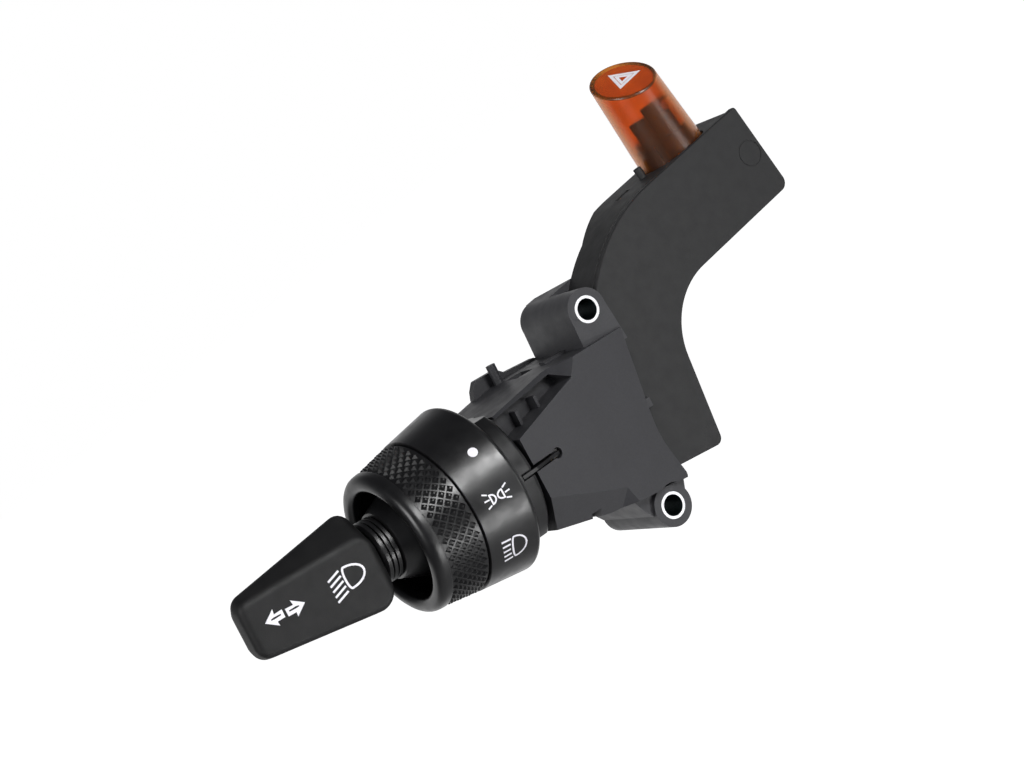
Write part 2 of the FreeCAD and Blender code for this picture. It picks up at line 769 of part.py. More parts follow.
def guide_collar():
    spigot_r = spigot_bore_r + spigot_wall
    rim_r = collar_r - collar_rim
    body = turned([(-spigot_length, spigot_bore_r, 0), (-spigot_length, spigot_r, 0.3), (0, spigot_r, 0),
                   (0, rebate_r, 0), (collar_rebate, rebate_r, 0), (collar_rebate, collar_r, 1.1),
                   (collar_length, collar_r, 0.4), (collar_length, rim_r, 0), (collar_flange, rim_r, 0),
                   (collar_flange, tube_r, 0), (tube_length, tube_r, 0.3), (tube_length, tube_bore_r, 0),
                   (bore_shoulder_x, tube_bore_r, 0), (bore_shoulder_x, spigot_bore_r, 0)])
    flat = block(-5, -30, -collar_flat, 40, 30, collar_flat)
    body = body.common(flat)
    body = body.cut(rod(Vector(pivot_x, -tube_r - 0.3, 0), Y, trunnion_r + pin_fit, 2 * tube_r + 0.6))
    groove = rod(Vector(clip_x, 0, 0), X, tube_r + 1, circlip_thick).cut(
        rod(Vector(clip_x - 1, 0, 0), X, tube_r - 0.5, 5))
    body = body.cut(groove).cut(lug_slot(-1, collar_flange + 0.5))
    body = body.cut(key_slot(-1, key_end_x + 0.2, key_slot_half, collar_r - 1.4))
    return in_stalk(body)


def circlip():
    """Open spring ring that keeps the light ring on the guide tube."""
    clip = rod(Vector(clip_x, 0, 0), X, circlip_r, circlip_thick).cut(
        rod(Vector(clip_x - 1, 0, 0), X, tube_r - 0.5, 5))
    gap = block(clip_x - 1, -1.5, -20, clip_x + 2, 1.5, 0)
    return in_stalk(clip.cut(gap))


def symbol_ring():
    hub = tube_r + ring_running
    skirt = collar_r + ring_skirt_gap
    start = collar_length + ring_web_gap
    ring = turned([(ring_back_x, skirt, 0), (ring_back_x, ring_back_r - 0.1, 1.1),
                   (ring_split_x, ring_split_r, 0.15), (ring_split_x, hub, 0), (start, hub, 0),
                   (start, skirt, 0)])
    lug = ring_sector(lug_inner_r, lug_outer_r, lug_end_x, start + 1, lug_half_angle, lug_angle)
    return in_stalk(fused([ring, lug]))


def grip_ring():
    hub = tube_r + ring_running
    clip_room = clip_x - clip_play
    ring = turned([(ring_split_x, hub, 0), (ring_split_x, ring_split_r - 1.1, 0),
                   (ring_split_x + seam_ring, ring_split_r - 1.1, 0),
                   (ring_split_x + seam_ring, ring_split_r - 0.1, 0), (grip_front_x, grip_front_r, 0),
                   (grip_front_x, grip_front_r - 0.4, 0), (grip_front_x + 0.3, grip_front_r - 0.4, 0),
                   (grip_front_x + 0.3, grip_front_r + 0.1, 0),
                   (lip_front_x, grip_front_r - 0.3, lip_outer_round), (lip_front_x, lip_r, lip_round - 0.4),
                   (lip_front_x - lip_depth, lip_r, 0), (lip_front_x - lip_depth - 1.6, cup_r, 0),
                   (clip_room, cup_r, 0), (clip_room, hub, 0)])
    return in_stalk(ring)


def light_wiper():
    """Spring brass finger on the drive lug."""
    leaf = ring_sector(lug_inner_r + 0.1, lug_outer_r - 0.1, lug_end_x - 0.4, lug_end_x,
                       lug_half_angle - 0.6, lug_angle)
    nose = ring_sector(lug_inner_r + 0.2, lug_outer_r - 0.2, lug_end_x - 0.9, lug_end_x - 0.4, 1.6, lug_angle)
    return in_stalk(fused([leaf, nose]))


def light_contact_plate():
    """Fixed contact segment behind the drive lug."""
    x1 = lug_end_x - 1.2
    plate = ring_sector(13.0, lug_outer_r + 0.3, x1 - 1.6, x1, light_step + lug_half_angle, lug_angle)
    return in_stalk(plate)


def turn_carrier():
    """Gimbal block between the guide tube and the lever."""
    body = prism([(-carrier_half_x, -carrier_half_z, 1.2), (carrier_half_x, -carrier_half_z, 1.2),
                  (carrier_half_x, carrier_half_z, 1.2), (-carrier_half_x, carrier_half_z, 1.2)],
                 on_xz(-carrier_half_y), Vector(0, 2 * carrier_half_y, 0))
    round_body = rod(Vector(-9, 0, 0), X, tube_bore_r - 1.2, 18)
    body = body.common(round_body)
    window = block(-9, -stem_r - 1.6, -stem_flat - pin_fit, 9, stem_r + 1.6, stem_flat + pin_fit)
    body = body.cut(window)
    arm = block(-arm_tail_x, -carrier_half_y + 0.3, -3.0, -carrier_half_x + 1, -carrier_half_y + 2.6, 3.0)
    body = fused([body, arm])
    body = body.cut(rod(Vector(0, 0, -20), Z, beam_pin_r, 40))
    return in_lever(body)


def turn_pins():
    """Trunnions of the gimbal in the guide tube."""
    pins = [rod(Vector(0, carrier_half_y, 0), Y, trunnion_r, tube_r - carrier_half_y - 0.1),
            rod(Vector(0, -carrier_half_y, 0), -Y, trunnion_r, tube_r - carrier_half_y - 0.1)]
    group = []
    for pin in pins:
        group.append(in_lever(pin))
    return Part.makeCompound(group)


def beam_pin():
    """Cross pin on which the lever tips towards the driver."""
    length = 2 * carrier_half_z - 0.6
    return in_lever(rod(Vector(0, 0, -length / 2), Z, beam_pin_r, length))


def turn_wiper():
    """Bent brass leaf on the carrier's tail that sweeps over the contact board."""
    y1 = -carrier_half_y + 0.3
    reach = board_y + 0.1
    leaf = prism([(-arm_tail_x, y1, 0), (-arm_tail_x, y1 - 0.4, 0), (-arm_tail_x + 3.2, y1 - 0.4, 0.3),
                  (-arm_tail_x + 1.0, reach, 0.3), (-arm_tail_x + 2.6, reach, 0.3),
                  (-arm_tail_x + 4.6, y1 - 0.4, 0), (-arm_tail_x + 6.5, y1 - 0.4, 0), (-arm_tail_x + 6.5, y1, 0)],
                 on_xy(-2.0), Vector(0, 0, 4.0))
    return in_lever(leaf)


def turn_contact_board():
    """Board with the indicator contacts on the rear cover."""
    board = block(-17.0, board_y - board_thick, -7.0, -4.5, board_y, 7.0)
    return in_stalk(board)


def lever_stem():
    body = rod(Vector(-tail_length, 0, 0), X, stem_r, tail_length + knob_start + 14)
    flats = block(-7.0, -6, stem_flat, 7.0, 6, 9).fuse(block(-7.0, -6, -9, 7.0, 6, -stem_flat))
    body = body.cut(flats)
    body = body.cut(rod(Vector(0, 0, -9), Z, beam_pin_r + pin_fit, 18))
    body = body.cut(rod(Vector(-tail_length - 1, 0, 0), X, 2.2, 12))
    return in_lever(body)


def detent_plunger():
    """Spring-loaded follower in the lever's tail."""
    x0 = -tail_length
    body = turned([(x0 - plunger_nose, 0, 0), (x0 - plunger_nose, 1.6, 1.2), (x0 - 0.6, 2.15, 0),
                   (x0 + 3.5, 2.15, 0.2), (x0 + 3.5, 0, 0)])
    return in_lever(body)


def coil(radius, wire, pitch, turns):
    """Helical spring about Z from z 0: its wire's section swept along quarter turns that climb by the pitch."""
    def at(turn):
        angle = 2 * math.pi * turn
        return Vector(radius * math.cos(angle), radius * math.sin(angle), pitch * turn)
    quarters = [Part.Arc(at(k / 4), at((k + 0.5) / 4), at((k + 1) / 4)).toShape() for k in range(4 * turns)]
    section = Part.Wire(Part.makeCircle(wire / 2, Vector(radius, 0, 0), Y))
    sweep = Part.Wire(quarters).makePipeShell([section], True, True)
    return Part.Solid(sweep) if sweep.ShapeType != "Solid" else sweep


def detent_spring():
    spring = coil(1.5, 0.4, 1.05, 6)
    spring.Placement = Placement(Vector(-tail_length + 3.8, 0, 0), Rotation(Z, X))
    return in_lever(spring)


def cam_block():
    """Outline of the detent cam, in the lever's frame at rest."""
    return block(-cam_back, -6.5, -8.5, -cam_back + 4.7, 6.5, 8.5)


def detent_cam():
    """Cam with a groove for each lever position, on the contact base."""
    reach = tail_length + plunger_nose + 0.3
    cam = cam_block().cut(Part.makeSphere(reach, ORIGIN))
    for angle in (-turn_angle, 0, turn_angle):
        a = math.radians(angle)
        cam = cam.cut(rod(Vector(-reach * math.cos(a), -8, reach * math.sin(a)), Y, 0.8, 16))
    return in_lever(cam)


def contact_base():
    """Bulkhead across the housing that carries the cam."""
    back = pivot_x - cam_back
    plate = in_housing(housing_block(housing_wall + 0.15).common(block(-40, -9.0, -30, 10, 30, 30)))
    plate = plate.cut(in_housing(pocket(housing_wall + 0.6)))
    plate = plate.common(in_stalk(block(back - 1.0, -40, -40, back + 0.9, 40, 40)))
    return plate.cut(in_lever(cam_block()))


def neck_shroud():
    """Bell that closes the light ring's mouth round the lever, with its ridged neck."""
    inner = stem_r
    points = [(shroud_back_x, shroud_back_r, 0.3), (neck_start - 0.2, neck_r + 0.5, 0)]
    for i in range(disc_count):
        x = neck_start + i * disc_pitch
        points += [(x, neck_r - 0.7, 0), (x + 0.35, neck_r - 0.7, 0), (x + 0.35, neck_r, 0.15),
                   (x + disc_pitch, neck_r - 0.15, 0.15)]
    points += [(knob_start - 0.05, neck_r - 1.0, 0), (knob_start - 0.05, inner, 0),
               (neck_start - 2.5, inner, 0), (neck_start - 2.5, neck_r - 1.0, 0),
               (shroud_back_x, shroud_back_r - shroud_wall, 0)]
    return in_lever(turned(points))


def knob_section(x, inset, corner):
    """Section of the knob at station x: flat front face, slanted upper face, rounded back."""
    share = (x - knob_start) / (knob_end - knob_start)
    front = knob_big_front + (knob_tip_front - knob_big_front) * share - inset
    low = knob_big_low + (knob_tip_low - knob_big_low) * share + inset
    top = knob_big_top + (knob_tip_top - knob_big_top) * share - inset
    crease = knob_crease - inset * 0.5
    back = -front + 0.5
    points = [(front, low + 0.5, corner), (front, crease, 0.6), (0.6, top, corner),
              (back, top - 2.6, corner), (back, low + 1.6, corner), (0.0, low, corner)]
    return wire_of(points, on_yz(x))


def lever_knob():
    stations = [(0.0, 3.0, 1.0), (0.7, 1.7, 1.3), (1.9, 0.7, 1.6), (4.2, 0.0, 2.0),
                (knob_end - knob_start - 3.2, 0.0, 1.3), (knob_end - knob_start - 1.2, 0.5, 1.1),
                (knob_end - knob_start, 1.7, 0.8)]
    wires = [knob_section(knob_start + x, inset, corner) for x, inset, corner in stations]
    solid = Part.makeLoft(wires, True, True)
    return in_lever(solid.cut(rod(Vector(knob_start - 5, 0, 0), X, stem_r, 19)))


# Cancelling pawl and its bracket

def pawl_window():
    """Window in the housing's end wall for the pawl."""
    swing = math.tan(math.radians(pawl_angle)) * 8.0 + 2.6
    return block(-housing_length - 2, pawl_y - pawl_half - 0.4, pawl_z - swing,
                 pawl_x - 3.3, pawl_y + pawl_half + 0.4, pawl_z + swing)


def cancel_pawl():
    hub = rod(Vector(pawl_x, pawl_y - pawl_half, pawl_z), Y, 3.0, 2 * pawl_half)
    finger = prism([(pawl_x, pawl_z - 2.2, 0), (pawl_x - pawl_reach, pawl_z - 1.2, 0.8),
                    (pawl_x - pawl_reach, pawl_z + 1.2, 0.8), (pawl_x, pawl_z + 2.2, 0)],
                   on_xz(pawl_y - pawl_half + 0.5), Vector(0, 2 * pawl_half - 1.0, 0))
    body = fused([hub, finger]).cut(rod(Vector(pawl_x, -20, pawl_z), Y, 1.0 + pin_fit, 30))
    return in_stalk(body)


def pawl_pin():
    """Pin of the pawl, between the bracket's ears."""
    return in_stalk(rod(Vector(pawl_x, pawl_y - pawl_half - 1.9, pawl_z), Y, 1.0, 2 * pawl_half + 3.8))


def pawl_bracket():
    """Ears that hold the pawl's pin, standing on the contact base."""
    base_x = pivot_x - cam_back - 1.0
    ears = []
    for y0 in (pawl_y - pawl_half - 1.9, pawl_y + pawl_half + 0.3):
        ear = prism([(base_x, pawl_z - 4.5, 0), (pawl_x, pawl_z - 2.4, 1.2), (pawl_x - 2.4, pawl_z - 2.4, 0.8),
                     (pawl_x - 2.4, pawl_z + 2.4, 0.8), (pawl_x, pawl_z + 2.4, 1.2), (base_x, pawl_z + 4.5, 0)],
                    on_xz(y0), Vector(0, 1.6, 0))
        ears.append(ear.cut(rod(Vector(pawl_x, -30, pawl_z), Y, 1.0, 60)))
    foot = block(base_x - 1.0, pawl_y - pawl_half - 1.9, pawl_z - 4.5, base_x,
                 pawl_y + pawl_half + 1.9, pawl_z + 4.5)
    foot = foot.cut(rod(Vector(pawl_x, -30, pawl_z), Y, 3.4, 60))
    return in_stalk(fused([foot] + ears))


# Hazard button

def cap_radius(z):
    """Outer radius of the tapered cap at height z."""
    return cap_top_r + cap_taper * (cap_top_z - z)


def hazard_cap():
    high = cap_top_z + 8.0
    outer = Part.makeCone(cap_radius(cap_bottom_z), cap_radius(high), high - cap_bottom_z,
                          Vector(hazard_x, hazard_y, cap_bottom_z))
    slant = math.radians(cap_slant)
    away = Vector(0, -math.sin(slant), math.cos(slant))
    top = Vector(hazard_x, hazard_y, cap_top_z)
    outer = trimmed(outer, top, away)
    rim = [e for e in outer.Edges if abs((e.CenterOfMass - top).dot(away)) < 0.05 and e.Length > 20]
    outer = outer.makeFillet(0.7, rim)
    inner = Part.makeCone(cap_radius(cap_bottom_z - 1) - cap_wall, cap_radius(high) - cap_wall,
                          high - cap_bottom_z + 1, Vector(hazard_x, hazard_y, cap_bottom_z - 1))
    inner = trimmed(inner, top - away * cap_wall, away)
    return outer.cut(inner)


def hazard_plunger():
    """Hollow plunger that carries the cap and slides round the lamp post."""
    head_z = 13.5
    grip = cap_radius(head_z + 6) - cap_wall - 0.15
    body = turned([(plunger_foot_z, plunger_bore_r, 0), (plunger_foot_z, plunger_r, 0), (head_z, plunger_r, 0),
                   (head_z, grip, 0.4), (head_z + 5.5, grip, 0.4), (head_z + 5.5, plunger_r + 0.6, 0),
                   (head_z + 9.0, plunger_r + 0.2, 0.3), (head_z + 9.0, plunger_bore_r, 0)], Z)
    notches = [block(-1.1, grip - 1.6, head_z - 1, 1.1, grip + 2, head_z + 8) for i in range(4)]
    for i, notch in enumerate(notches):
        notch.rotate(ORIGIN, Z, 45 + 90 * i)
        body = body.cut(notch)
    body.translate(Vector(hazard_x, hazard_y, 0))
    return body


def hazard_spring():
    low = well_floor_z + 0.35
    high = 13.5 - 0.35
    turns = 4
    spring = coil(plunger_r + 1.2, 0.7, (high - low) / turns, turns)
    spring.translate(Vector(hazard_x, hazard_y, low))
    return spring


def chamber_floor(x):
    """Height of the hazard chamber's floor at x."""
    return column_z + saddle_r + arm_wall + (x - column_x) * math.tan(math.radians(arm_rise)) + 0.03


def hazard_lamp_post():
    base = chamber_floor(hazard_x + 7)
    foot = block(-7, -4.5, base, 7, 4.5, base + 1.4)
    post = rod(Vector(0, 0, base), Z, lamp_post_r, 16.5 - base)
    body = fused([foot, post])
    body.translate(Vector(hazard_x, hazard_y, 0))
    return body


def hazard_lamp():
    """Glass capsule lamp on its post."""
    z0 = 16.5
    body = turned([(z0, 0, 0), (z0, 2.4, 0), (z0 + 7.5, 2.4, 2.2), (z0 + 7.5, 0, 0)], Z)
    body.translate(Vector(hazard_x, hazard_y, 0))
    return body


def hazard_slider():
    """Contact slider at the plunger's foot."""
    low = plunger_foot_z
    ring = rod(Vector(hazard_x, hazard_y, low - 1.4), Z, plunger_r + 1.4, 1.4)
    ring = ring.cut(rod(Vector(hazard_x, hazard_y, low - 3), Z, plunger_bore_r, 9))
    return ring


def lead_frame():
    """Brass conductors that follow the arm from the hazard switch to the main housing."""
    strips = []
    strip_y = arm_depth - arm_wall - 0.05 - strip_thick
    for radius in (25.5, 31.5, 37.5):
        tube = rod(Vector(column_x, strip_y, column_z), Y, radius + 1.2, strip_thick).cut(
            rod(Vector(column_x, strip_y - 1, column_z), Y, radius - 1.2, 4))
        keep = prism([(column_x, column_z, 0), (column_x, column_z + 60, 0), (column_x - 60, column_z + 60, 0),
                      (column_x - 60, column_z - 3, 0)], on_xz(5), Vector(0, 10, 0))
        strips.append(tube.common(keep))
    posts = [rod(Vector(c.x, 0, c.z), Y, 2.9, 30) for c in screw_posts()]
    group = []
    for strip in strips:
        for post in posts:
            strip = strip.cut(post)
        strip = arm_limits(strip, arm_wall + 0.2)
        group += [s for s in strip.Solids if s.Volume > 5]
    return Part.makeCompound(group)


PARTS = {
    "arm_shell": arm_shell,
    "arm_cover": arm_cover,
    "main_housing": main_housing,
    "front_cover": front_cover,
    "index_key": index_key,
    "rear_cover": rear_cover,
    "cover_screws": cover_screws,
    "connector_shroud": connector_shroud,
    "terminals": terminals,
    "mounting_sleeves": sleeves,
    "guide_collar": guide_collar,
    "circlip": circlip,
    "symbol_ring": symbol_ring,
    "grip_ring": grip_ring,
    "light_wiper": light_wiper,
    "light_contact_plate": light_contact_plate,
    "turn_carrier": turn_carrier,
    "turn_pins": turn_pins,
    "beam_pin": beam_pin,
    "turn_wiper": turn_wiper,
    "turn_contact_board": turn_contact_board,
    "lever_stem": lever_stem,
    "detent_plunger": detent_plunger,
    "detent_spring": detent_spring,
    "detent_cam": detent_cam,
    "contact_base": contact_base,
    "neck_shroud": neck_shroud,
    "lever_knob": lever_knob,
    "cancel_pawl": cancel_pawl,
    "pawl_pin": pawl_pin,
    "pawl_bracket": pawl_bracket,
    "hazard_cap": hazard_cap,
    "hazard_plunger": hazard_plunger,
    "hazard_spring": hazard_spring,
    "hazard_lamp_post": hazard_lamp_post,
    "hazard_lamp": hazard_lamp,
    "hazard_slider": hazard_slider,
    "lead_frame": lead_frame,
}

os.makedirs("parts", exist_ok=True)
for name, make in PARTS.items():
    shape = make()
    if not shape.isValid():
        raise ValueError(name + " is not a valid shape")
    shape.exportStep("parts/" + name + ".step")
    print(name, len(shape.Solids), round(shape.Volume, 2))
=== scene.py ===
"""Combination stalk switch: finishes, knurled grip, moulded knob and printed symbols round the fixed frame.

Places are in metres, in the row frame: +X right, +Y away from the driver, +Z up.
The knob's sections, the prints and the cap's insides are drawn in millimetres and turned to metres where
they are laid down.
"""

import json
import math

import bmesh
import bpy
from mathutils import Matrix, Vector
from mathutils.geometry import tessellate_polygon

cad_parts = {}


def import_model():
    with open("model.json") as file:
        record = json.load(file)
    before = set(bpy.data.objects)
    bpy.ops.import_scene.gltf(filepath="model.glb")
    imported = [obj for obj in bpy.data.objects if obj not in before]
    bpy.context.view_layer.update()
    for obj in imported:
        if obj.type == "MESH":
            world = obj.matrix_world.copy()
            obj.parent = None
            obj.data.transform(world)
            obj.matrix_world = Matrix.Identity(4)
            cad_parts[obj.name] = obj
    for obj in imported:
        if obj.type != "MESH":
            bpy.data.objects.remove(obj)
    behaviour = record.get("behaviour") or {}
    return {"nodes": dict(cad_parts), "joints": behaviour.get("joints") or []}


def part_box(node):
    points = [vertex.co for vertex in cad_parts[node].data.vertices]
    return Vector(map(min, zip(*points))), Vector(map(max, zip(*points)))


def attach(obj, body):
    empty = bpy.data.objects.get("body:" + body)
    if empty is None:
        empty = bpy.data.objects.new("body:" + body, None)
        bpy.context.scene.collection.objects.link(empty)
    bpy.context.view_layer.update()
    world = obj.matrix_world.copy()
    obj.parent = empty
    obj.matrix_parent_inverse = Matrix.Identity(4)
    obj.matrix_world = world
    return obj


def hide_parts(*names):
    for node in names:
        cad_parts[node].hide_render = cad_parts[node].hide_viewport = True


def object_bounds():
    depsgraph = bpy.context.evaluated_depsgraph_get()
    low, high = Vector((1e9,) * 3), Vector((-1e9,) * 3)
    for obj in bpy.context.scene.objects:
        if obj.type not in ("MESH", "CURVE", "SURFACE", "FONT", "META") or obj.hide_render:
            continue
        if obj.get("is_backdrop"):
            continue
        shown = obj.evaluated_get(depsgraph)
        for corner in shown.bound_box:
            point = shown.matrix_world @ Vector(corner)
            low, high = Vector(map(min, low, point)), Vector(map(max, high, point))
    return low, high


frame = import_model()

bl_info = {
    "name": "Combination stalk switch",
    "version": (1, 0, 0),
    "blender": (4, 5, 0),
    "location": "View3D > Sidebar > Stalk switch",
    "description": "Builds the finishes, grip, knob and printed symbols of a steering column stalk switch",
    "category": "Object",
}

MM = 0.001
NODES = frame["nodes"]
JOINTS = {joint["name"]: joint for joint in frame["joints"]}


def frame_matrix(place, outward, driver):
    """Matrix of a frame whose x runs outward along the stalk, y to the driver and z up."""
    x, y = Vector(outward).normalized(), Vector(driver).normalized()
    z = x.cross(y).normalized()
    matrix = Matrix((x, y, z)).transposed().to_4x4()
    matrix.translation = Vector(place)
    return matrix


RING = JOINTS["light_ring_turn"]
TURN = JOINTS["turn_lever"]
BEAM = JOINTS["beam_pull"]
STALK = frame_matrix(RING["pos_m"], RING["axis"], TURN["axis"])
LEVER = frame_matrix(BEAM["pos_m"], Vector(TURN["axis"]).cross(Vector(BEAM["axis"])), TURN["axis"])


def linear(hex_value):
    """sRGB hex colour as the linear RGBA that a shader works in."""
    parts = [int(hex_value[i:i + 2], 16) / 255 for i in (1, 3, 5)]
    return [c / 12.92 if c <= 0.04045 else ((c + 0.055) / 1.055) ** 2.4 for c in parts] + [1.0]


def size(name, description, mm):
    """Length property that a user can change, given in millimetres."""
    return bpy.props.FloatProperty(name=name, description=description, default=mm * MM, unit="LENGTH",
                                   precision=5)


def colour(name, description, hex_value):
    """Colour property, given as sRGB hex."""
    return bpy.props.FloatVectorProperty(name=name, description=description, subtype="COLOR", size=4,
                                         min=0.0, max=1.0, default=linear(hex_value))


class StalkSwitchSizes(bpy.types.PropertyGroup):
    """Sizes of the pieces that are made here."""

    ring_back: size("Ring back station", "Where the symbol ring begins, along the stalk", 5.9)
    ring_back_radius: size("Ring back radius", "Outer radius of the symbol ring at its back", 22.75)
    ring_split: size("Ring split station", "Where the knurled grip begins, along the stalk", 19.8)
    ring_split_radius: size("Ring split radius", "Outer radius where the grip begins", 20.5)
    grip_front: size("Knurl front station", "Where the knurl ends", 29.9)
    grip_front_radius: size("Knurl front radius", "Radius over the knurl's tips at its front", 18.6)
    lip_front: size("Lip station", "Front of the rounded lip", 33.5)
    lip_radius: size("Lip radius", "Inner radius of the rounded lip", 14.5)
    hub_radius: size("Hub radius", "Bore of the grip on the guide tube", 14.06)
    cup_radius: size("Cup radius", "Radius inside the grip's cup", 16.3)
    cup_floor: size("Cup floor station", "Bottom of the grip's cup", 20.2)
    knurl_depth: size("Knurl depth", "Height of the knurl's pyramids", 0.62)
    seam: size("Seam", "Dark gap between the ring and the knurl", 0.35)
    knurl_count: bpy.props.IntProperty(name="Knurl count", description="Pyramids round the grip", default=50)
    knurl_rows: bpy.props.IntProperty(name="Knurl rows", description="Pyramids along the grip", default=4)
    knob_start: size("Knob start", "Inner end of the knob, from the lever's pivot", 32.2)
    knob_end: size("Knob end", "Outer end of the knob, from the lever's pivot", 67.7)
    cap_height: size("Cap height", "Height of the cap's slanted face on its axis", 36.95)
    cap_slant: bpy.props.FloatProperty(name="Cap slant", description="Slant of the cap's face",
                                       default=math.radians(28.4), subtype="ANGLE")
    print_thick: size("Print thickness", "How far the printed symbols stand proud", 0.06)
    edge_round: size("Edge rounding", "Rounding of the moulded housings' edges", 0.35)


class StalkSwitchColours(bpy.types.PropertyGroup):
    """Colours of the finishes."""

    arm: colour("Arm plastic", "Matt black glass-filled nylon of the arm", "#141415")
    cover: colour("Cover plastic", "Satin black nylon of the front cover", "#2e2e31")
    ring: colour("Ring plastic", "Satin black acetal of the light ring", "#131314")
    knob: colour("Knob plastic", "Fine-grained black nylon of the knob", "#0b0b0c")
    print_white: colour("Print white", "Pad-printed symbols", "#f6f4fb")
    amber: colour("Amber lens", "Translucent amber polycarbonate", "#e28832")


def sizes():
    """The scene's own sizes, which a user can change."""
    return bpy.context.scene.stalk_switch_sizes


def colours():
    """The scene's own colours, which a user can change."""
    return bpy.context.scene.stalk_switch_colours


# Materials

# Nearly all of a pattern's heights lie between these two
CLOUD_LOW, CLOUD_HIGH = 0.3, 0.7
GRAIN_DARK = [0.72, 0.72, 0.72, 1.0]
GRAIN_LIGHT = [1.25, 1.25, 1.27, 1.0]


def add(tree, kind, settings=None, links=None):
    """Adds a node to tree with its settings and links; a socket is named or numbered."""
    node = tree.nodes.new(kind)
    for name, value in (settings or {}).items():
        if isinstance(name, int) or name in node.inputs:
            node.inputs[name].default_value = value
        else:
            setattr(node, name, value)
    for name, socket in (links or {}).items():
        tree.links.new(socket, node.inputs[name])
    return node


def surface(name, settings):
    """New material with one principled shader and its fixed settings."""
    material = bpy.data.materials.new(name)
    material.use_nodes = True
    tree = material.node_tree
    tree.nodes.clear()
    shader = add(tree, "ShaderNodeBsdfPrincipled", settings)
    add(tree, "ShaderNodeOutputMaterial", links={"Surface": shader.outputs["BSDF"]})
    return material, tree, shader


def cloud(tree, feature_mm, detail=2.0, rough=0.5, stretch=None):
    """Height of an irregular pattern fixed to the piece, its features about feature_mm across."""
    place = add(tree, "ShaderNodeTexCoord").outputs["Object"]
    if stretch:
        place = add(tree, "ShaderNodeMapping", {"Scale": stretch}, {"Vector": place}).outputs["Vector"]
    return add(tree, "ShaderNodeTexNoise",
               {"Scale": 1 / (feature_mm * MM), "Detail": detail, "Roughness": rough},
               {"Vector": place}).outputs["Fac"]


def mottled(tree, height, first, second):
    """Colour that drifts between two with a pattern's height."""
    share = add(tree, "ShaderNodeMapRange", {"From Min": CLOUD_LOW, "From Max": CLOUD_HIGH},
                {"Value": height})
    mix = add(tree, "ShaderNodeMix", {"data_type": "RGBA", 6: first, 7: second}, {0: share.outputs["Result"]})
    return mix.outputs[2]


def uneven_gloss(tree, shader, height, low, high):
    """Roughness that drifts from low to high with a pattern's height."""
    rough = add(tree, "ShaderNodeMapRange",
                {"From Min": CLOUD_LOW, "From Max": CLOUD_HIGH, "To Min": low, "To Max": high},
                {"Value": height})
    tree.links.new(rough.outputs["Result"], shader.inputs["Roughness"])


def grained(tree, shader, height, strength, depth_mm):
    """Surface that stands a little higher where a pattern is high."""
    bump = add(tree, "ShaderNodeBump", {"Strength": strength, "Distance": depth_mm * MM}, {"Height": height})
    tree.links.new(bump.outputs["Normal"], shader.inputs["Normal"])


def shade(rgba, share):
    """The colour made lighter or darker by a share."""
    return [min(1.0, c * share) for c in rgba[:3]] + [1.0]


def moulded(name, rgba, gloss, grain_mm, grain_depth_mm, drift=0.18, specular=0.5):
    """Injection-moulded plastic: flow marks, uneven gloss and a grain drawn as coarse as it needs to show."""
    material, tree, shader = surface(name, {"IOR": 1.53, "Specular IOR Level": specular})
    flow = cloud(tree, 14.0, 3.0)
    patch = cloud(tree, 3.5)
    grain = cloud(tree, grain_mm, 2.0, 0.6)
    base = mottled(tree, flow, shade(rgba, 1 - drift), shade(rgba, 1 + drift))
    speck = mottled(tree, grain, GRAIN_DARK, GRAIN_LIGHT)
    toned = add(tree, "ShaderNodeMix", {"data_type": "RGBA", "blend_type": "MULTIPLY", 0: 0.35},
                {6: base, 7: speck})
    tree.links.new(toned.outputs[2], shader.inputs["Base Color"])
    uneven_gloss(tree, shader, patch, gloss - 0.05, gloss + 0.06)
    grained(tree, shader, grain, 0.5, grain_depth_mm)
    return material


def glass_filled_nylon():
    """Arm: matt black, a grain of about 0.3 mm drawn as coarse as it shows."""
    return moulded("nylon_matt_black_moulded", colours().arm, 0.60, 0.38, 0.05, 0.06)


def housing_nylon():
    """Front cover and housing: satin black with long flow marks."""
    return moulded("nylon_satin_black_moulded", colours().cover, 0.50, 0.5, 0.03, 0.06)


def ring_acetal():
    """Light ring: smooth satin acetal that takes long soft highlights."""
    return moulded("acetal_satin_black_turned", colours().ring, 0.33, 0.3, 0.008, 0.05)


def knob_nylon():
    """Knob: fine even grain, a little grey."""
    return moulded("nylon_fine_grain_black_moulded", colours().knob, 0.58, 0.32, 0.03, 0.05, 0.42)


def dark_nylon():
    """Inner black parts: plain moulded nylon, darker than the housing and duller."""
    return moulded("nylon_black_inner_moulded", linear("#0c0c0d"), 0.62, 0.5, 0.03)


def natural_acetal():
    """Unpigmented acetal: milky ivory that lets a little light in."""
    material, tree, shader = surface("acetal_natural_moulded", {
        "IOR": 1.48, "Roughness": 0.38, "Subsurface Weight": 0.25, "Subsurface Scale": 0.002})
    tone = mottled(tree, cloud(tree, 6.0), linear("#d8d2bd"), linear("#e6e1cf"))
    tree.links.new(tone, shader.inputs["Base Color"])
    return material


def metal(name, bright, dull, gloss, scratch_mm, stretch):
    """Bare or plated metal with fine drawn lines along one axis."""
    material, tree, shader = surface(name, {"Metallic": 1.0})
    lines = cloud(tree, scratch_mm, 3.0, stretch=stretch)
    tree.links.new(mottled(tree, lines, dull, bright), shader.inputs["Base Color"])
    uneven_gloss(tree, shader, lines, gloss - 0.06, gloss + 0.1)
    grained(tree, shader, lines, 0.25, 0.01)
    return material


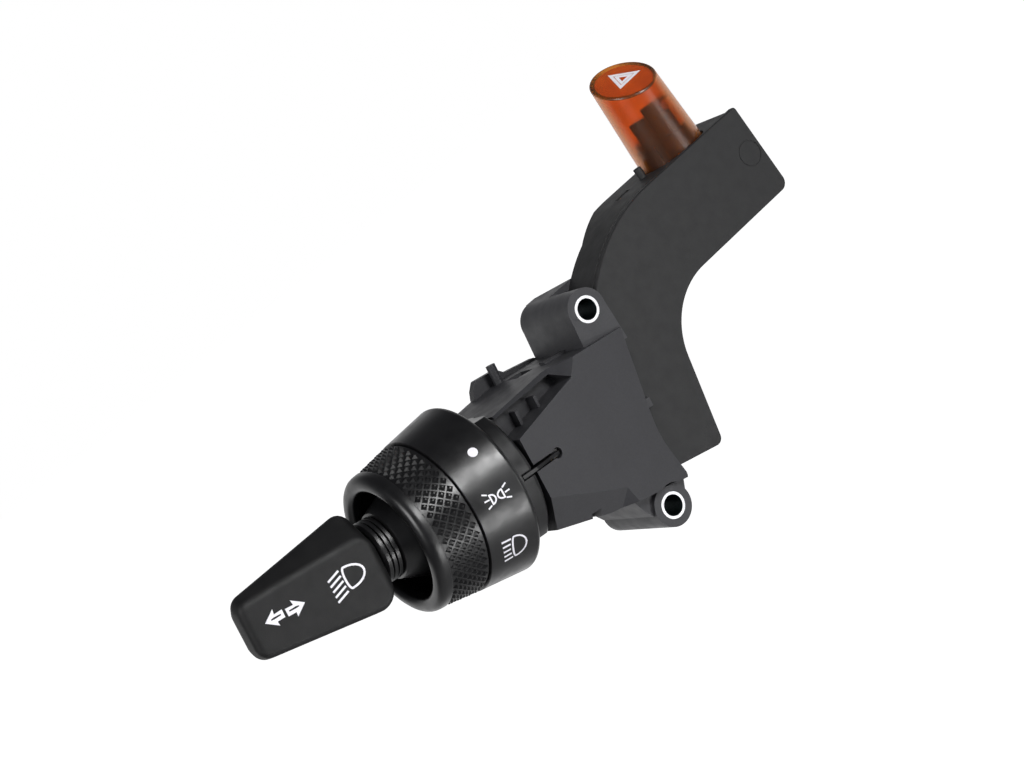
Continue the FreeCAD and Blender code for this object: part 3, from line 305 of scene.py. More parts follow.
def facing(tree, socket_name, low, high):
    """How far a face looks along one of the piece's own axes, from 0 across it to 1 along it."""
    place = add(tree, "ShaderNodeTexCoord")
    parts = add(tree, "ShaderNodeSeparateXYZ", links={"Vector": place.outputs["Normal"]})
    along = add(tree, "ShaderNodeMath", {"operation": "ABSOLUTE"}, {0: parts.outputs[socket_name]})
    return add(tree, "ShaderNodeMapRange", {"From Min": low, "From Max": high},
               {"Value": along.outputs["Value"]}).outputs["Result"]


def zinc_plate():
    """Zinc-plated steel: bright, faintly grained by the plating."""
    return metal("steel_zinc_plated_turned", linear("#f2f2f4"), linear("#c9cacd"), 0.28, 0.4, (1, 0.2, 1))


def turned_sleeve():
    """Zinc-plated sleeve: bright faced ends, and painted shade, a dark bluish grey, on the bore and on every
    face that doesn't look along y.
    """
    material, tree, shader = surface("steel_zinc_plated_faced", {"Metallic": 1.0})
    # Mask of the faces that look along y: these keep the plated colour, and all other faces get the painted
    # shade.
    ends = facing(tree, "Y", 0.6, 0.95)
    lines = cloud(tree, 0.35, 3.0)
    plated = mottled(tree, lines, linear("#d6d7da"), linear("#f4f4f6"))
    # Painted shade: a dark bluish grey that stands for the shade in the bore and on the sleeve's sides.
    painted_bore_shade = mottled(tree, lines, linear("#2a3436"), linear("#46565a"))
    mix = add(tree, "ShaderNodeMix", {"data_type": "RGBA"}, {0: ends, 6: painted_bore_shade, 7: plated})
    tree.links.new(mix.outputs[2], shader.inputs["Base Color"])
    uneven_gloss(tree, shader, lines, 0.36, 0.5)
    return material


def spring_steel():
    """Oiled spring wire: mid grey with a soft sheen along its drawing lines."""
    return metal("steel_spring_oiled_drawn", linear("#8d8f93"), linear("#5f6165"), 0.32, 0.3, (1, 1, 0.3))


def contact_brass():
    """Stamped brass with a light tarnish."""
    return metal("brass_bare_stamped", linear("#d9b066"), linear("#a88140"), 0.3, 0.5, (0.3, 1, 1))


def tinned_copper():
    """Tin-plated copper blades: pale warm grey with a soft shine."""
    return metal("copper_tin_plated_stamped", linear("#d6d6d2"), linear("#b3b2ad"), 0.3, 0.4, (1, 0.3, 1))


def laminate():
    """Phenolic paper laminate: brown, slightly woven."""
    material, tree, shader = surface("phenolic_laminate_pressed", {"IOR": 1.55, "Roughness": 0.45})
    tone = mottled(tree, cloud(tree, 0.6, 3.0), linear("#5a3a1e"), linear("#7a5430"))
    tree.links.new(tone, shader.inputs["Base Color"])
    return material


def amber_polycarbonate():
    """Translucent amber polycarbonate, frosted inside: orange, with what stands inside it blurred."""
    material, tree, shader = surface("polycarbonate_amber_frosted_moulded", {
        "IOR": 1.58, "Roughness": 0.26, "Transmission Weight": 0.97, "Specular IOR Level": 0.4})
    amber = colours().amber
    tone = mottled(tree, cloud(tree, 5.0), shade(amber, 0.92), shade(amber, 1.08))
    tree.links.new(tone, shader.inputs["Base Color"])
    grained(tree, shader, cloud(tree, 1.2), 0.15, 0.01)
    return material


def lamp_glass():
    """Clear blown soda-lime glass: hardly seen but for its highlights."""
    material, tree, shader = surface("glass_clear_blown", {
        "IOR": 1.52, "Roughness": 0.02, "Transmission Weight": 1.0})
    tone = mottled(tree, cloud(tree, 4.0), linear("#f4f4f0"), linear("#fafaf8"))
    tree.links.new(tone, shader.inputs["Base Color"])
    return material


def white_ink():
    """Pad-printed ink: flat white, a little uneven at its edges."""
    material, tree, shader = surface("ink_white_pad_printed", {"IOR": 1.5, "Roughness": 0.55})
    white = colours().print_white
    tone = mottled(tree, cloud(tree, 0.5), shade(white, 0.94), white)
    tree.links.new(tone, shader.inputs["Base Color"])
    return material


def made(material_maker):
    """The material of a maker, made once."""
    known = made.store.get(material_maker.__name__)
    if known is None:
        known = material_maker()
        made.store[material_maker.__name__] = known
    return known


made.store = {}


# Meshes

def rounded(points, steps=6):
    """Outline through (a, b, radius) points, each corner rounded by an arc of so many steps."""
    outline = []
    count = len(points)
    for i, (a, b, radius) in enumerate(points):
        corner = Vector((a, b))
        to_last = (Vector(points[i - 1][:2]) - corner).normalized()
        to_next = (Vector(points[(i + 1) % count][:2]) - corner).normalized()
        half = to_last.angle(to_next) / 2
        if radius <= 0:
            outline.append(corner)
            continue
        middle = corner + (to_last + to_next).normalized() * (radius / math.sin(half))
        start = corner + to_last * (radius / math.tan(half)) - middle
        end = corner + to_next * (radius / math.tan(half)) - middle
        turn = start.angle_signed(end)
        for k in range(steps + 1):
            outline.append(middle + Matrix.Rotation(-turn * k / steps, 2) @ start)
    return outline


def piece(name, verts, faces, place, material_maker, body, replaced=(), sharp=32.0):
    """Mesh object at its place in the row frame, riding on its body."""
    mesh = bpy.data.meshes.new(name)
    mesh.from_pydata([place @ Vector(v) for v in verts], [], faces)
    cleaned = bmesh.new()
    cleaned.from_mesh(mesh)
    bmesh.ops.remove_doubles(cleaned, verts=cleaned.verts, dist=0.001 * MM)
    bmesh.ops.recalc_face_normals(cleaned, faces=cleaned.faces)
    cleaned.to_mesh(mesh)
    cleaned.free()
    mesh.shade_smooth()
    mesh.set_sharp_from_angle(angle=math.radians(sharp))
    thing = bpy.data.objects.new(name, mesh)
    bpy.context.scene.collection.objects.link(thing)
    mesh.materials.append(made(material_maker))
    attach(thing, body)
    if replaced:
        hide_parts(*replaced)
    return thing


def lathe(profile, segments):
    """Ring of a closed (station, radius) profile turned about the x axis."""
    verts, faces = [], []
    count = len(profile)
    for s in range(segments):
        turn = 2 * math.pi * s / segments
        verts += [(x, r * math.cos(turn), r * math.sin(turn)) for x, r in profile]
    for s in range(segments):
        here, there = s * count, (s + 1) % segments * count
        for k in range(count):
            after = (k + 1) % count
            faces.append((here + k, here + after, there + after, there + k))
    return verts, faces


def joined(*parts):
    """Several (verts, faces) as one."""
    verts, faces = [], []
    for more_verts, more_faces in parts:
        start = len(verts)
        verts += list(more_verts)
        faces += [tuple(start + i for i in face) for face in more_faces]
    return verts, faces


def knurl(x0, r0, x1, r1, depth, inner_drop, count, rows):
    """Closed sleeve with a diamond knurl: truncated pyramids between flat-bottomed helical grooves."""
    base_share, tip_share = 0.80, 0.17
    steps_round, steps_along = 2 * count, 2 * rows
    verts, faces, groove = [], [], {}

    def point(p, q, drop):
        x = x0 + (x1 - x0) * p / steps_along
        r = r0 + (r1 - r0) * p / steps_along - drop
        turn = 2 * math.pi * q / steps_round
        verts.append((x, r * math.cos(turn), r * math.sin(turn)))
        return len(verts) - 1

    def crossing(p, q):
        key = (p, q % steps_round)
        if key not in groove:
            groove[key] = point(p, q, depth)
        return groove[key]

    for a in range(steps_along + 1):
        for b in range(steps_round):
            if (a + b) % 2 == 0:
                continue
            if a in (0, steps_along):
                side = 1 if a == 0 else steps_along - 1
                faces.append((crossing(a, b - 1), crossing(side, b), crossing(a, b + 1)))
                continue
            ways = ((-1, 0), (0, 1), (1, 0), (0, -1))
            corners = [crossing(a + da, b + db) for da, db in ways]
            foot = [point(a + da * base_share, b + db * base_share, depth) for da, db in ways]
            tip = [point(a + da * tip_share, b + db * tip_share, 0.0) for da, db in ways]
            for k in range(4):
                after = (k + 1) % 4
                faces.append((corners[k], corners[after], foot[after], foot[k]))
                faces.append((foot[k], foot[after], tip[after], tip[k]))
            faces.append(tuple(tip))
    ends = {}
    for p in (0, steps_along):
        ends[p] = [point(p, q, depth + inner_drop) for q in range(0, steps_round, 2)]
        for i, inner in enumerate(ends[p]):
            after = (i + 1) % count
            faces.append((crossing(p, 2 * i), crossing(p, 2 * i + 2), ends[p][after], inner))
    for i in range(count):
        after = (i + 1) % count
        faces.append((ends[0][i], ends[0][after], ends[steps_along][after], ends[steps_along][i]))
    return verts, faces


def knurled_grip():
    """Grip of the light ring: a knurled band between the seam and a rounded lip, with a cup in front."""
    s = sizes()
    mm = MM
    x0, x1 = s.ring_split + s.seam, s.grip_front
    body_drop = s.knurl_depth + 0.25 * mm
    slope = (s.grip_front_radius - s.ring_split_radius) / (s.grip_front - s.ring_split)
    start_r = s.ring_split_radius + slope * s.seam
    seam_radius = s.ring_split_radius - 1.1 * mm
    core_radius = s.grip_front_radius - body_drop
    lip_start = x1 + 0.28 * mm
    profile = rounded([
        (s.ring_split, s.hub_radius, 0), (s.ring_split, seam_radius, 0),
        (x0, seam_radius, 0), (x0, start_r - body_drop, 0.05 * mm),
        (x1, core_radius, 0.05 * mm), (lip_start, core_radius, 0.05 * mm),
        (lip_start, s.grip_front_radius + 0.05 * mm, 0.12 * mm),
        (s.lip_front, s.grip_front_radius - 0.35 * mm, 2.3 * mm), (s.lip_front, s.lip_radius, 1.4 * mm),
        (s.lip_front - 3.3 * mm, s.lip_radius, 0.2 * mm), (s.lip_front - 4.9 * mm, s.cup_radius, 0.3 * mm),
        (s.cup_floor, s.cup_radius, 0.3 * mm), (s.cup_floor, s.hub_radius, 0.1 * mm)])
    band = knurl(x0, start_r, x1, s.grip_front_radius, s.knurl_depth, 0.35 * mm, s.knurl_count, s.knurl_rows)
    verts, faces = joined(lathe(profile, 180), band)
    return piece("ring_grip_knurled", verts, faces, STALK, ring_acetal, "light_ring",
                 ["grip_ring"], 24.0)


def corner_inset(along, radius):
    """How far a rounded end draws an edge in, at a distance along from the end."""
    if along >= radius:
        return 0.0
    return radius - math.sqrt(max(radius ** 2 - (radius - along) ** 2, 0.0))


def between(start, end, share):
    """Length that runs from start to end over a share of the way."""
    return start + (end - start) * share


def knob_outline(x):
    """Section of the knob at station x: its front, low, crease, top and back, in millimetres."""
    start, end = sizes().knob_start / MM, sizes().knob_end / MM
    share = (x - start) / (end - start)
    from_start, to_end = x - start, end - x
    front = between(8.8, 4.4, share) - max(corner_inset(from_start, 2.6), corner_inset(to_end, 1.6))
    back = between(-8.2, -4.2, share) + max(corner_inset(from_start, 2.0), corner_inset(to_end, 4.2))
    low = between(-12.7, -7.8, share) + 1.25 * corner_inset(from_start, 6.0) + corner_inset(to_end, 2.8)
    crease = between(6.3, 6.4, share) - 1.1 * corner_inset(from_start, 5.0) - 1.2 * corner_inset(to_end, 2.6)
    top = between(13.1, 7.7, share) - 1.1 * corner_inset(from_start, 4.0) - 0.9 * corner_inset(to_end, 2.6)
    return front, low, crease, top, back


def knob_stations(start, end):
    """Stations along the knob, close together where its ends are rounded."""
    round_steps, middle_steps = 9, 14
    start_run, end_run = 5.2, 3.6
    turns = [i / round_steps for i in range(round_steps + 1)]
    near = [start + start_run * (1 - math.cos(t * math.pi / 2)) for t in turns]
    far = [end - end_run * (1 - math.cos(t * math.pi / 2)) for t in reversed(turns)]
    middle = [near[-1] + (far[0] - near[-1]) * i / middle_steps for i in range(1, middle_steps)]
    return near + middle + far


def moulded_knob():
    """Flag-shaped knob: flat printed face, slanted upper face, drawn-in ends and a soft crease."""
    s = sizes()
    start, end = s.knob_start / MM, s.knob_end / MM
    sections = []
    for x in knob_stations(start, end):
        front, low, crease, top, back = knob_outline(x)
        width = front - back
        soft = min(1.0, width / 8.0)
        outline = rounded([
            (front, low + 0.5, 1.5 * soft), (front, crease, 2.6 * soft), (0.6, top, 2.2 * soft),
            (back, top - 2.8, 1.8 * soft), (back, low + 1.8, 1.8 * soft), (0.2, low, 2.4 * soft)], 7)
        sections.append([(x * MM, p.x * MM, p.y * MM) for p in outline])
    verts = [v for section in sections for v in section]
    count = len(sections[0])
    faces = []
    for i in range(len(sections) - 1):
        for k in range(count):
            after = (k + 1) % count
            faces.append((i * count + k, i * count + after, (i + 1) * count + after, (i + 1) * count + k))
    faces.append(tuple(range(count)))
    last = (len(sections) - 1) * count
    faces.append(tuple(last + k for k in range(count)))
    return piece("knob_moulded", verts, faces, LEVER, knob_nylon, "lever",
                 ["lever_knob"], 38.0)


def wall_sector(r0, r1, start, end, z0, z1, steps=8):
    """Upright curved block about the z axis, between two radii, two angles in degrees and two heights."""
    verts = []
    for k in range(steps + 1):
        turn = math.radians(start + (end - start) * k / steps)
        for r, z in ((r0, z0), (r1, z0), (r1, z1), (r0, z1)):
            verts.append((r * math.cos(turn) * MM, r * math.sin(turn) * MM, z * MM))
    faces = [(0, 1, 2, 3), tuple(4 * steps + k for k in (3, 2, 1, 0))]
    for k in range(steps):
        here, there = 4 * k, 4 * k + 4
        for side in range(4):
            after = (side + 1) % 4
            faces.append((here + side, there + side, there + after, here + after))
    return verts, faces


def cap_insides():
    """Black contact carrier and its pale spring leaf, which show blurred through the amber cap."""
    low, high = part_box("hazard_cap")
    place = Matrix.Translation(((low.x + high.x) / 2, (low.y + high.y) / 2, 0))
    inner, outer, foot, ledge = 5.3, 7.1, 19.05, 20.6
    tower_spans = ((-166, -128, 26.4), (-127, -96, 28.4), (-95, -72, 24.6), (-50, 24, 27.2))
    towers = [wall_sector(inner, outer, start, end, foot, top) for start, end, top in tower_spans]
    verts, faces = joined(*towers, wall_sector(inner, outer, 25, 193, foot, ledge))
    piece("hazard_contact_carrier", verts, faces, place, dark_nylon, "hazard_button")
    verts, faces = joined(wall_sector(5.5, 7.2, -71, -51, foot, 26.8))
    piece("hazard_spring_leaf", verts, faces, place, natural_acetal, "hazard_button")


# Printed symbols

def dense(points, closed, longest=0.45):
    """Points with others added between, so that no run is longer than longest."""
    line = [Vector(p) for p in points]
    if closed:
        line.append(line[0])
    result = []
    for a, b in zip(line, line[1:]):
        parts = max(1, math.ceil((b - a).length / longest))
        result += [a.lerp(b, k / parts) for k in range(parts)]
    if not closed:
        result.append(line[-1])
    return result


def stroke(points, width, closed=False):
    """Ribbon of quads along points in the plane, mitred at its corners."""
    line = dense(points, closed)
    count = len(line)
    left, right = [], []
    for i, here in enumerate(line):
        before = line[i - 1] if closed or i > 0 else here - (line[i + 1] - here)
        after = line[(i + 1) % count] if closed or i < count - 1 else here + (here - line[i - 1])
        first, second = (here - before).normalized(), (after - here).normalized()
        across = Vector((-(first + second).y, (first + second).x)).normalized()
        reach = width / 2 / max(0.35, across.dot(Vector((-first.y, first.x))))
        left.append(here + across * reach)
        right.append(here - across * reach)
    last = count if closed else count - 1
    return [(left[i], right[i], right[(i + 1) % count], left[(i + 1) % count]) for i in range(last)]


def disc(centre, radius, steps=28):
    """Filled circle as wedges."""
    middle = Vector(centre)
    rim = [middle + Vector((math.cos(a), math.sin(a))) * radius
           for a in (2 * math.pi * k / steps for k in range(steps))]
    return [(middle, rim[k], rim[(k + 1) % steps]) for k in range(steps)]


def arc(centre, radius_a, radius_b, start, end, steps=12):
    """Points of an ellipse's arc, angles in degrees."""
    return [(centre[0] + radius_a * math.cos(math.radians(start + (end - start) * k / steps)),
             centre[1] + radius_b * math.sin(math.radians(start + (end - start) * k / steps)))
            for k in range(steps + 1)]


def filled(outline, *holes):
    """Patches that fill an outline but leave its holes open."""
    loops = [[Vector((*p, 0.0)) for p in loop] for loop in (outline, *holes)]
    flat = [tuple(p)[:2] for loop in loops for p in loop]
    return [tuple(flat[i] for i in triangle) for triangle in tessellate_polygon(loops)]


def printed(name, patches, onto, body, place):
    """Thin raised print: patches in millimetres, laid onto a surface, with a side wall round each shape."""
    spots, tops, edges = {}, [], {}
    for patch in patches:
        top = [spots.setdefault((round(p[0], 3), round(p[1], 3)), len(spots)) for p in patch]
        tops.append(tuple(top))
        for pair in zip(top, top[1:] + top[:1]):
            edges.setdefault(tuple(sorted(pair)), []).append(pair)
    under = len(spots)
    verts = [onto(p, sizes().print_thick / MM) for p in spots] + [onto(p, -0.03) for p in spots]
    faces = tops + [tuple(under + i for i in reversed(top)) for top in tops]
    faces += [(a, b, under + b, under + a) for pairs in edges.values() if len(pairs) == 1 for a, b in pairs]
    return piece(name, verts, faces, place, white_ink, body)


def on_ring(centre_x, centre_angle):
    """Lays a print on the ring's cone: the first coordinate runs outward, the second up round the ring."""
    s = sizes()
    slope = (s.ring_split_radius - s.ring_back_radius) / (s.ring_split - s.ring_back)

    def lay(point, lift):
        x = (centre_x + point[0]) * MM
        r = s.ring_back_radius + slope * (x - s.ring_back) + lift * MM
        turn = math.radians(centre_angle) + point[1] * MM / r
        return (x, r * math.cos(turn), r * math.sin(turn))

    return lay


def on_knob(centre_x, centre_z):
    """Lays a print on the knob's flat face: first coordinate outward, second up."""
    def lay(point, lift):
        x = centre_x + point[0]
        front = knob_outline(x)[0]
        return (x * MM, (front + lift) * MM, (centre_z + point[1]) * MM)

    return lay


def on_cap():
    """Lays a print on the cap's slanted top: first coordinate to the right, second up the slope."""
    low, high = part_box("hazard_cap")
    centre = (low + high) / 2
    slant = sizes().cap_slant
    up_slope = Vector((0, math.cos(slant), math.sin(slant)))
    away = Vector((0, -math.sin(slant), math.cos(slant)))
    middle = Vector((centre.x, centre.y, sizes().cap_height))

    def lay(point, lift):
        return middle + (Vector((point[0], 0, 0)) + up_slope * point[1] + away * lift) * MM

    return lay


def ring_symbols():
    """Dot, sidelights and dipped lamp printed round the ring."""
    printed("print_off_dot", disc((0, 0), 1.2), on_ring(11.9, 31.5), "light_ring", STALK)
    printed("print_sidelights", sidelights(), on_ring(13.3, 0.7), "light_ring", STALK)
    printed("print_dipped_lamp", dipped_lamp(), on_ring(13.15, -36.6), "light_ring", STALK)


def lens(centre, bulge, back, half_height):
    """Closed outline of a lamp: a bulging side towards the left and a flatter one towards the right."""
    return arc(centre, bulge, half_height, 90, 270) + arc(centre, back, half_height, -90, 90)[1:-1]


def sidelights():
    """Two small lamps back to back, each with three rays."""
    outer = [(2.1, 1.42, 3.2, 2.1), (2.08, 0.2, 3.4, 0.3), (2.15, -1.22, 3.25, -1.6)]
    inner = [(-1.95, 1.1, -3.24, 1.7), (-2.05, -0.18, -3.33, -0.1), (-1.85, -1.4, -3.05, -1.92)]
    patches = stroke(arc((1.7, 0.0), 1.2, 1.13, 90, 270), 0.38, True)
    patches += stroke(arc((-1.55, -0.1), 1.4, 1.03, -90, 90), 0.38, True)
    for a, b, c, d in outer + inner:
        patches += stroke([(a, b), (c, d)], 0.36)
    return patches


def dipped_lamp():
    """Lamp with five rays that fan out a little."""
    patches = stroke(lens((0.1, 0.0), 3.05, 0.65, 3.0), 0.42, True)
    for k in range(5):
        height = 2.74 - 1.41 * k
        inset = 0.45 * abs(k - 2) ** 2 / 4
        patches += stroke([(1.4 - inset, height), (3.45 - 0.07 * k, height + 0.06 - 0.07 * k)], 0.45)
    return patches


def main_beam():
    """Main beam lamp with five slanting rays."""
    patches = stroke(lens((1.1, -0.05), 4.3, 0.7, 2.6), 0.5, True)
    for k in range(5):
        height = 2.46 - 1.3 * k
        patches += stroke([(2.35, height), (5.65, height - 1.18)], 0.5)
    return patches


def arrow(outward):
    """Arrow with a slit along its shaft, its tip at the origin; outward is 1 or -1."""
    corners = [(0, 0), (2.85, 2.05), (2.65, 0.83), (4.75, 0.95), (4.7, -0.95), (2.7, -1.0), (2.8, -2.05)]
    slit = [(1.5, -0.12), (2.3, -0.2), (4.05, -0.12), (4.1, 0.2), (2.3, 0.27), (1.5, 0.12)]
    return filled([(-outward * x, y) for x, y in corners], [(-outward * x, y) for x, y in slit])


def knob_symbols():
    """Main beam lamp and the two arrows on the knob's face."""
    printed("print_main_beam", main_beam(), on_knob(40.85, -0.45), "lever", LEVER)
    printed("print_arrow_outer", arrow(1), on_knob(63.4, -0.05), "lever", LEVER)
    printed("print_arrow_inner", arrow(-1), on_knob(53.25, -0.35), "lever", LEVER)


def triangle(radius, turn, centre):
    """Corners of an upright triangle, turned a little about its centre."""
    return [(centre[0] + radius * math.cos(math.radians(a + turn)),
             centre[1] + radius * math.sin(math.radians(a + turn))) for a in (90, 210, 330)]


def hazard_triangle():
    """Two white triangles, one inside the other, on the cap's face."""
    patches = []
    turn, centre = 5.6, (0.4, -0.35)
    for outer, inner in ((4.95, 3.25), (2.9, 1.35)):
        patches += filled(triangle(outer, turn, centre), triangle(inner, turn, centre))
    return printed("print_hazard_triangle", patches, on_cap(), "hazard_button", Matrix.Identity(4))


# Finishes of the carried-over nodes

FINISHES = {
    glass_filled_nylon: ["arm_shell", "arm_cover"],
    housing_nylon: ["main_housing", "front_cover", "rear_cover", "connector_shroud"],
    ring_acetal: ["guide_collar", "symbol_ring", "neck_shroud", "index_key"],
    dark_nylon: ["lever_stem", "contact_base", "pawl_bracket", "hazard_plunger", "hazard_lamp_post"],
    natural_acetal: ["turn_carrier", "detent_cam", "detent_plunger", "cancel_pawl"],
    turned_sleeve: ["mounting_sleeves"],
    zinc_plate: ["cover_screws", "turn_pins", "beam_pin", "pawl_pin"],
    spring_steel: ["circlip", "detent_spring", "hazard_spring"],
    contact_brass: ["light_wiper", "light_contact_plate", "turn_wiper", "hazard_slider", "lead_frame"],
    tinned_copper: ["terminals"],
    laminate: ["turn_contact_board"],
    amber_polycarbonate: ["hazard_cap"],
    lamp_glass: ["hazard_lamp"],
}


def finish_nodes():
    """Gives every carried-over node the material of its real finish."""
    for maker, names in FINISHES.items():
        for name in names:
            thing = NODES[name]
            thing.data.materials.clear()
            thing.data.materials.append(made(maker))


SOFT_EDGED = ["arm_shell", "arm_cover", "main_housing", "front_cover", "rear_cover", "connector_shroud"]


def soften_edges():
    """Rounds the edges of the moulded housings a little, as the tool's radii do."""
    for name in SOFT_EDGED:
        thing = NODES[name]
        weld = thing.modifiers.new("weld", "WELD")
        weld.merge_threshold = 0.002 * MM
        bevel = thing.modifiers.new("tool_radius", "BEVEL")
        bevel.width = sizes().edge_round
        bevel.segments = 2
        bevel.limit_method = "ANGLE"
        bevel.angle_limit = math.radians(28)
        bevel.use_clamp_overlap = True
        bevel.harden_normals = False
        thing.data.shade_smooth()
        smooth = thing.modifiers.new("weighted", "WEIGHTED_NORMAL")
        smooth.keep_sharp = True


# Stage

CAMERA_PLACE = (-0.21919, -0.40907, 0.09303)
CAMERA_RIGHT = (0.683, -0.452, -0.574)
CAMERA_UP = (0.602, -0.0973, 0.793)
CAMERA_LENS = 68.55
CAMERA_SENSOR = 36.0
FLOOR_DROP = 0.55


def camera():
    """Camera at the photograph's place and angle."""
    data = bpy.data.cameras.new("camera")
    data.lens = CAMERA_LENS
    data.sensor_width = CAMERA_SENSOR
    data.clip_start = 0.01
    data.clip_end = 20.0
    thing = bpy.data.objects.new("camera", data)
    right = Vector(CAMERA_RIGHT).normalized()
    up = Vector(CAMERA_UP)
    up = (up - right * up.dot(right)).normalized()
    matrix = Matrix((right, up, right.cross(up))).transposed().to_4x4()
    matrix.translation = Vector(CAMERA_PLACE)
    thing.matrix_world = matrix
    bpy.context.scene.collection.objects.link(thing)
    bpy.context.scene.camera = thing


def softbox(name, target, direction, distance, width, power):
    """Square area lamp that faces a target from a direction."""
    data = bpy.data.lights.new(name, "AREA")
    data.shape = "SQUARE"
    data.size = width
    data.energy = power
    thing = bpy.data.objects.new(name, data)
    away = Vector(direction).normalized()
    thing.location = target + away * distance
    thing.rotation_mode = "QUATERNION"
    thing.rotation_quaternion = away.to_track_quat("Z", "Y")
    bpy.context.scene.collection.objects.link(thing)


def view_ahead(tree, place):
    """How far a direction or place lies behind the object, along a line of sight fixed in the scene."""
    view = Vector(CAMERA_UP).cross(Vector(CAMERA_RIGHT)).normalized()
    return add(tree, "ShaderNodeVectorMath", {"operation": "DOT_PRODUCT", 1: view},
               {0: place}).outputs["Value"]


def shows_white(tree, ahead):
    """Whether a ray sees white: one from the camera, or gloss or glass that looks behind the object."""
    path = add(tree, "ShaderNodeLightPath")
    clear = add(tree, "ShaderNodeMath", {"operation": "MAXIMUM"},
                {0: path.outputs["Is Glossy Ray"], 1: path.outputs["Is Transmission Ray"]})
    behind = add(tree, "ShaderNodeMath", {"operation": "MULTIPLY"}, {0: clear.outputs["Value"], 1: ahead})
    return add(tree, "ShaderNodeMath", {"operation": "MAXIMUM"},
               {0: path.outputs["Is Camera Ray"], 1: behind.outputs["Value"]}).outputs["Value"]


def world():
    """White backdrop behind the object, which gloss and glass show too, and a room darker overhead."""
    surroundings = bpy.data.worlds.new("studio")
    bpy.context.scene.world = surroundings
    surroundings.use_nodes = True
    tree = surroundings.node_tree
    tree.nodes.clear()
    place = add(tree, "ShaderNodeTexCoord")
    height = add(tree, "ShaderNodeSeparateXYZ", links={"Vector": place.outputs["Generated"]})
    behind = add(tree, "ShaderNodeMapRange", {"From Min": 0.1, "From Max": 0.6},
                 {"Value": view_ahead(tree, place.outputs["Generated"])})
    below = add(tree, "ShaderNodeMapRange", {"From Min": 0.65, "From Max": 0.1},
                {"Value": height.outputs["Z"]})
    ahead = add(tree, "ShaderNodeMath", {"operation": "MULTIPLY"},
                {0: behind.outputs["Result"], 1: below.outputs["Result"]})
    glow = add(tree, "ShaderNodeMapRange",
               {"From Min": -1.0, "From Max": 1.0, "To Min": 0.30, "To Max": 0.06},
               {"Value": height.outputs["Z"]})
    room = add(tree, "ShaderNodeBackground", {"Color": linear("#f4f6ff")},
               {"Strength": glow.outputs["Result"]})
    backdrop = add(tree, "ShaderNodeBackground", {"Color": linear("#ffffff"), "Strength": 1.0})
    white = shows_white(tree, ahead.outputs["Value"])
    mix = add(tree, "ShaderNodeMixShader",
              links={0: white, 1: room.outputs["Background"], 2: backdrop.outputs["Background"]})
    add(tree, "ShaderNodeOutputWorld", links={"Surface": mix.outputs["Shader"]})


def floor():
    """Floor of matt white paper: shows the object's shadow, and plain white elsewhere."""
    low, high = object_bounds()
    middle = (low + high) / 2
    reach = 6.0
    corners = [(-reach, -reach, 0), (reach, -reach, 0), (reach, reach, 0), (-reach, reach, 0)]
    mesh = bpy.data.meshes.new("floor")
    mesh.from_pydata(corners, [], [(0, 1, 2, 3)])
    thing = bpy.data.objects.new("floor", mesh)
    thing.location = (middle.x, middle.y, low.z - FLOOR_DROP)
    bpy.context.scene.collection.objects.link(thing)
    material = bpy.data.materials.new("paper_white_matt")
    material.use_nodes = True
    tree = material.node_tree
    tree.nodes.clear()
    diffuse = add(tree, "ShaderNodeBsdfDiffuse", {"Color": linear("#e4e4e4")})
    glow = add(tree, "ShaderNodeEmission", {"Color": linear("#ffffff"), "Strength": 1.0})
    lit = add(tree, "ShaderNodeAddShader", links={0: diffuse.outputs["BSDF"], 1: glow.outputs["Emission"]})
    place = add(tree, "ShaderNodeTexCoord")
    behind = add(tree, "ShaderNodeMapRange", {"From Min": 0.15, "From Max": 0.6},
                 {"Value": view_ahead(tree, place.outputs["Object"])})
    white = shows_white(tree, behind.outputs["Result"])
    mix = add(tree, "ShaderNodeMixShader",
              links={0: white, 1: diffuse.outputs["BSDF"], 2: lit.outputs["Shader"]})
    add(tree, "ShaderNodeOutputMaterial", links={"Surface": mix.outputs["Shader"]})
    mesh.materials.append(material)
    thing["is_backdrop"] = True


def stage():
    """Camera, surroundings, floor and four soft lamps."""
    bpy.context.scene.view_settings.view_transform = "Standard"
    camera()
    world()
    floor()
    ring = STALK @ Vector((13 * MM, 0, 0))
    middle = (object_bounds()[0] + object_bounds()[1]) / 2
    softbox("key", ring, (0.27, -0.84, 0.46), distance=0.8, width=0.22, power=3.8)
    softbox("low", ring, (0.135, -0.81, -0.57), distance=0.8, width=0.18, power=1.8)
    softbox("front", middle, (0.41, -0.89, -0.2), distance=0.9, width=0.30, power=1.0)
    softbox("side", middle, (-0.85, -0.35, 0.40), distance=0.9, width=0.40, power=3.5)


# Operators

class STALK_OT_finishes(bpy.types.Operator):
    """Give the carried-over nodes their finishes and soft edges"""

    bl_idname = "stalk_switch.finishes"
    bl_label = "Finishes"

    def execute(self, context):
        finish_nodes()
        soften_edges()
        return {"FINISHED"}


class STALK_OT_grip(bpy.types.Operator):
    """Make the knurled grip of the light ring"""

    bl_idname = "stalk_switch.grip"
    bl_label = "Knurled grip"

    def execute(self, context):
        knurled_grip()
        return {"FINISHED"}


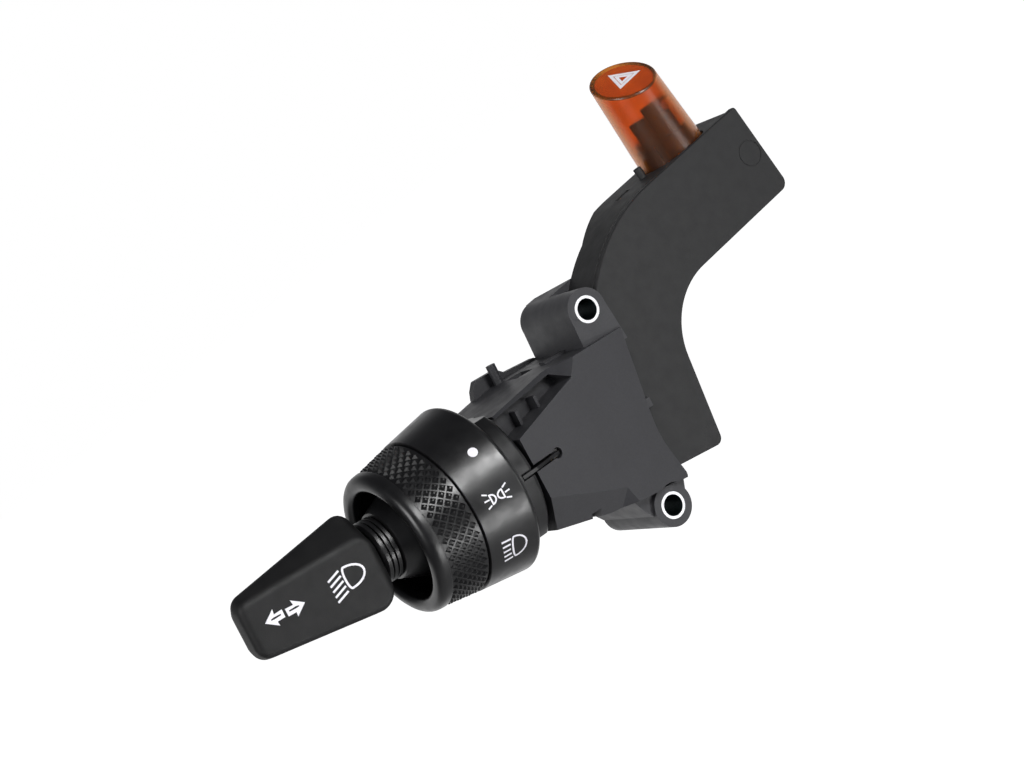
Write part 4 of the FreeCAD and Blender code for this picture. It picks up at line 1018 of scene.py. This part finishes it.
class STALK_OT_insides(bpy.types.Operator):
    """Make the parts that show through the amber cap"""

    bl_idname = "stalk_switch.insides"
    bl_label = "Cap insides"

    def execute(self, context):
        cap_insides()
        return {"FINISHED"}


class STALK_OT_knob(bpy.types.Operator):
    """Make the lever's knob"""

    bl_idname = "stalk_switch.knob"
    bl_label = "Knob"

    def execute(self, context):
        moulded_knob()
        return {"FINISHED"}


class STALK_OT_prints(bpy.types.Operator):
    """Print the symbols on the ring, the knob and the hazard cap"""

    bl_idname = "stalk_switch.prints"
    bl_label = "Printed symbols"

    def execute(self, context):
        ring_symbols()
        knob_symbols()
        hazard_triangle()
        return {"FINISHED"}


class STALK_OT_stage(bpy.types.Operator):
    """Make the camera, the lamps, the surroundings and the floor"""

    bl_idname = "stalk_switch.stage"
    bl_label = "Stage"

    def execute(self, context):
        stage()
        return {"FINISHED"}


class STALK_PT_panel(bpy.types.Panel):
    """Panel that lists the steps"""

    bl_label = "Stalk switch"
    bl_idname = "STALK_PT_panel"
    bl_space_type = "VIEW_3D"
    bl_region_type = "UI"
    bl_category = "Stalk switch"

    def draw(self, context):
        for step in STEPS:
            self.layout.operator(step.bl_idname)


STEPS = (STALK_OT_finishes, STALK_OT_grip, STALK_OT_insides, STALK_OT_knob, STALK_OT_prints, STALK_OT_stage)
CLASSES = (StalkSwitchSizes, StalkSwitchColours) + STEPS + (STALK_PT_panel,)


def register():
    for each in CLASSES:
        bpy.utils.register_class(each)
    bpy.types.Scene.stalk_switch_sizes = bpy.props.PointerProperty(type=StalkSwitchSizes)
    bpy.types.Scene.stalk_switch_colours = bpy.props.PointerProperty(type=StalkSwitchColours)


def unregister():
    del bpy.types.Scene.stalk_switch_colours
    del bpy.types.Scene.stalk_switch_sizes
    for each in reversed(CLASSES):
        bpy.utils.unregister_class(each)


def main():
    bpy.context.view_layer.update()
    register()
    bpy.ops.stalk_switch.finishes()
    bpy.ops.stalk_switch.grip()
    bpy.ops.stalk_switch.insides()
    bpy.ops.stalk_switch.knob()
    bpy.ops.stalk_switch.prints()
    bpy.ops.stalk_switch.stage()
    bpy.context.view_layer.update()


if __name__ == "__main__":
    main()
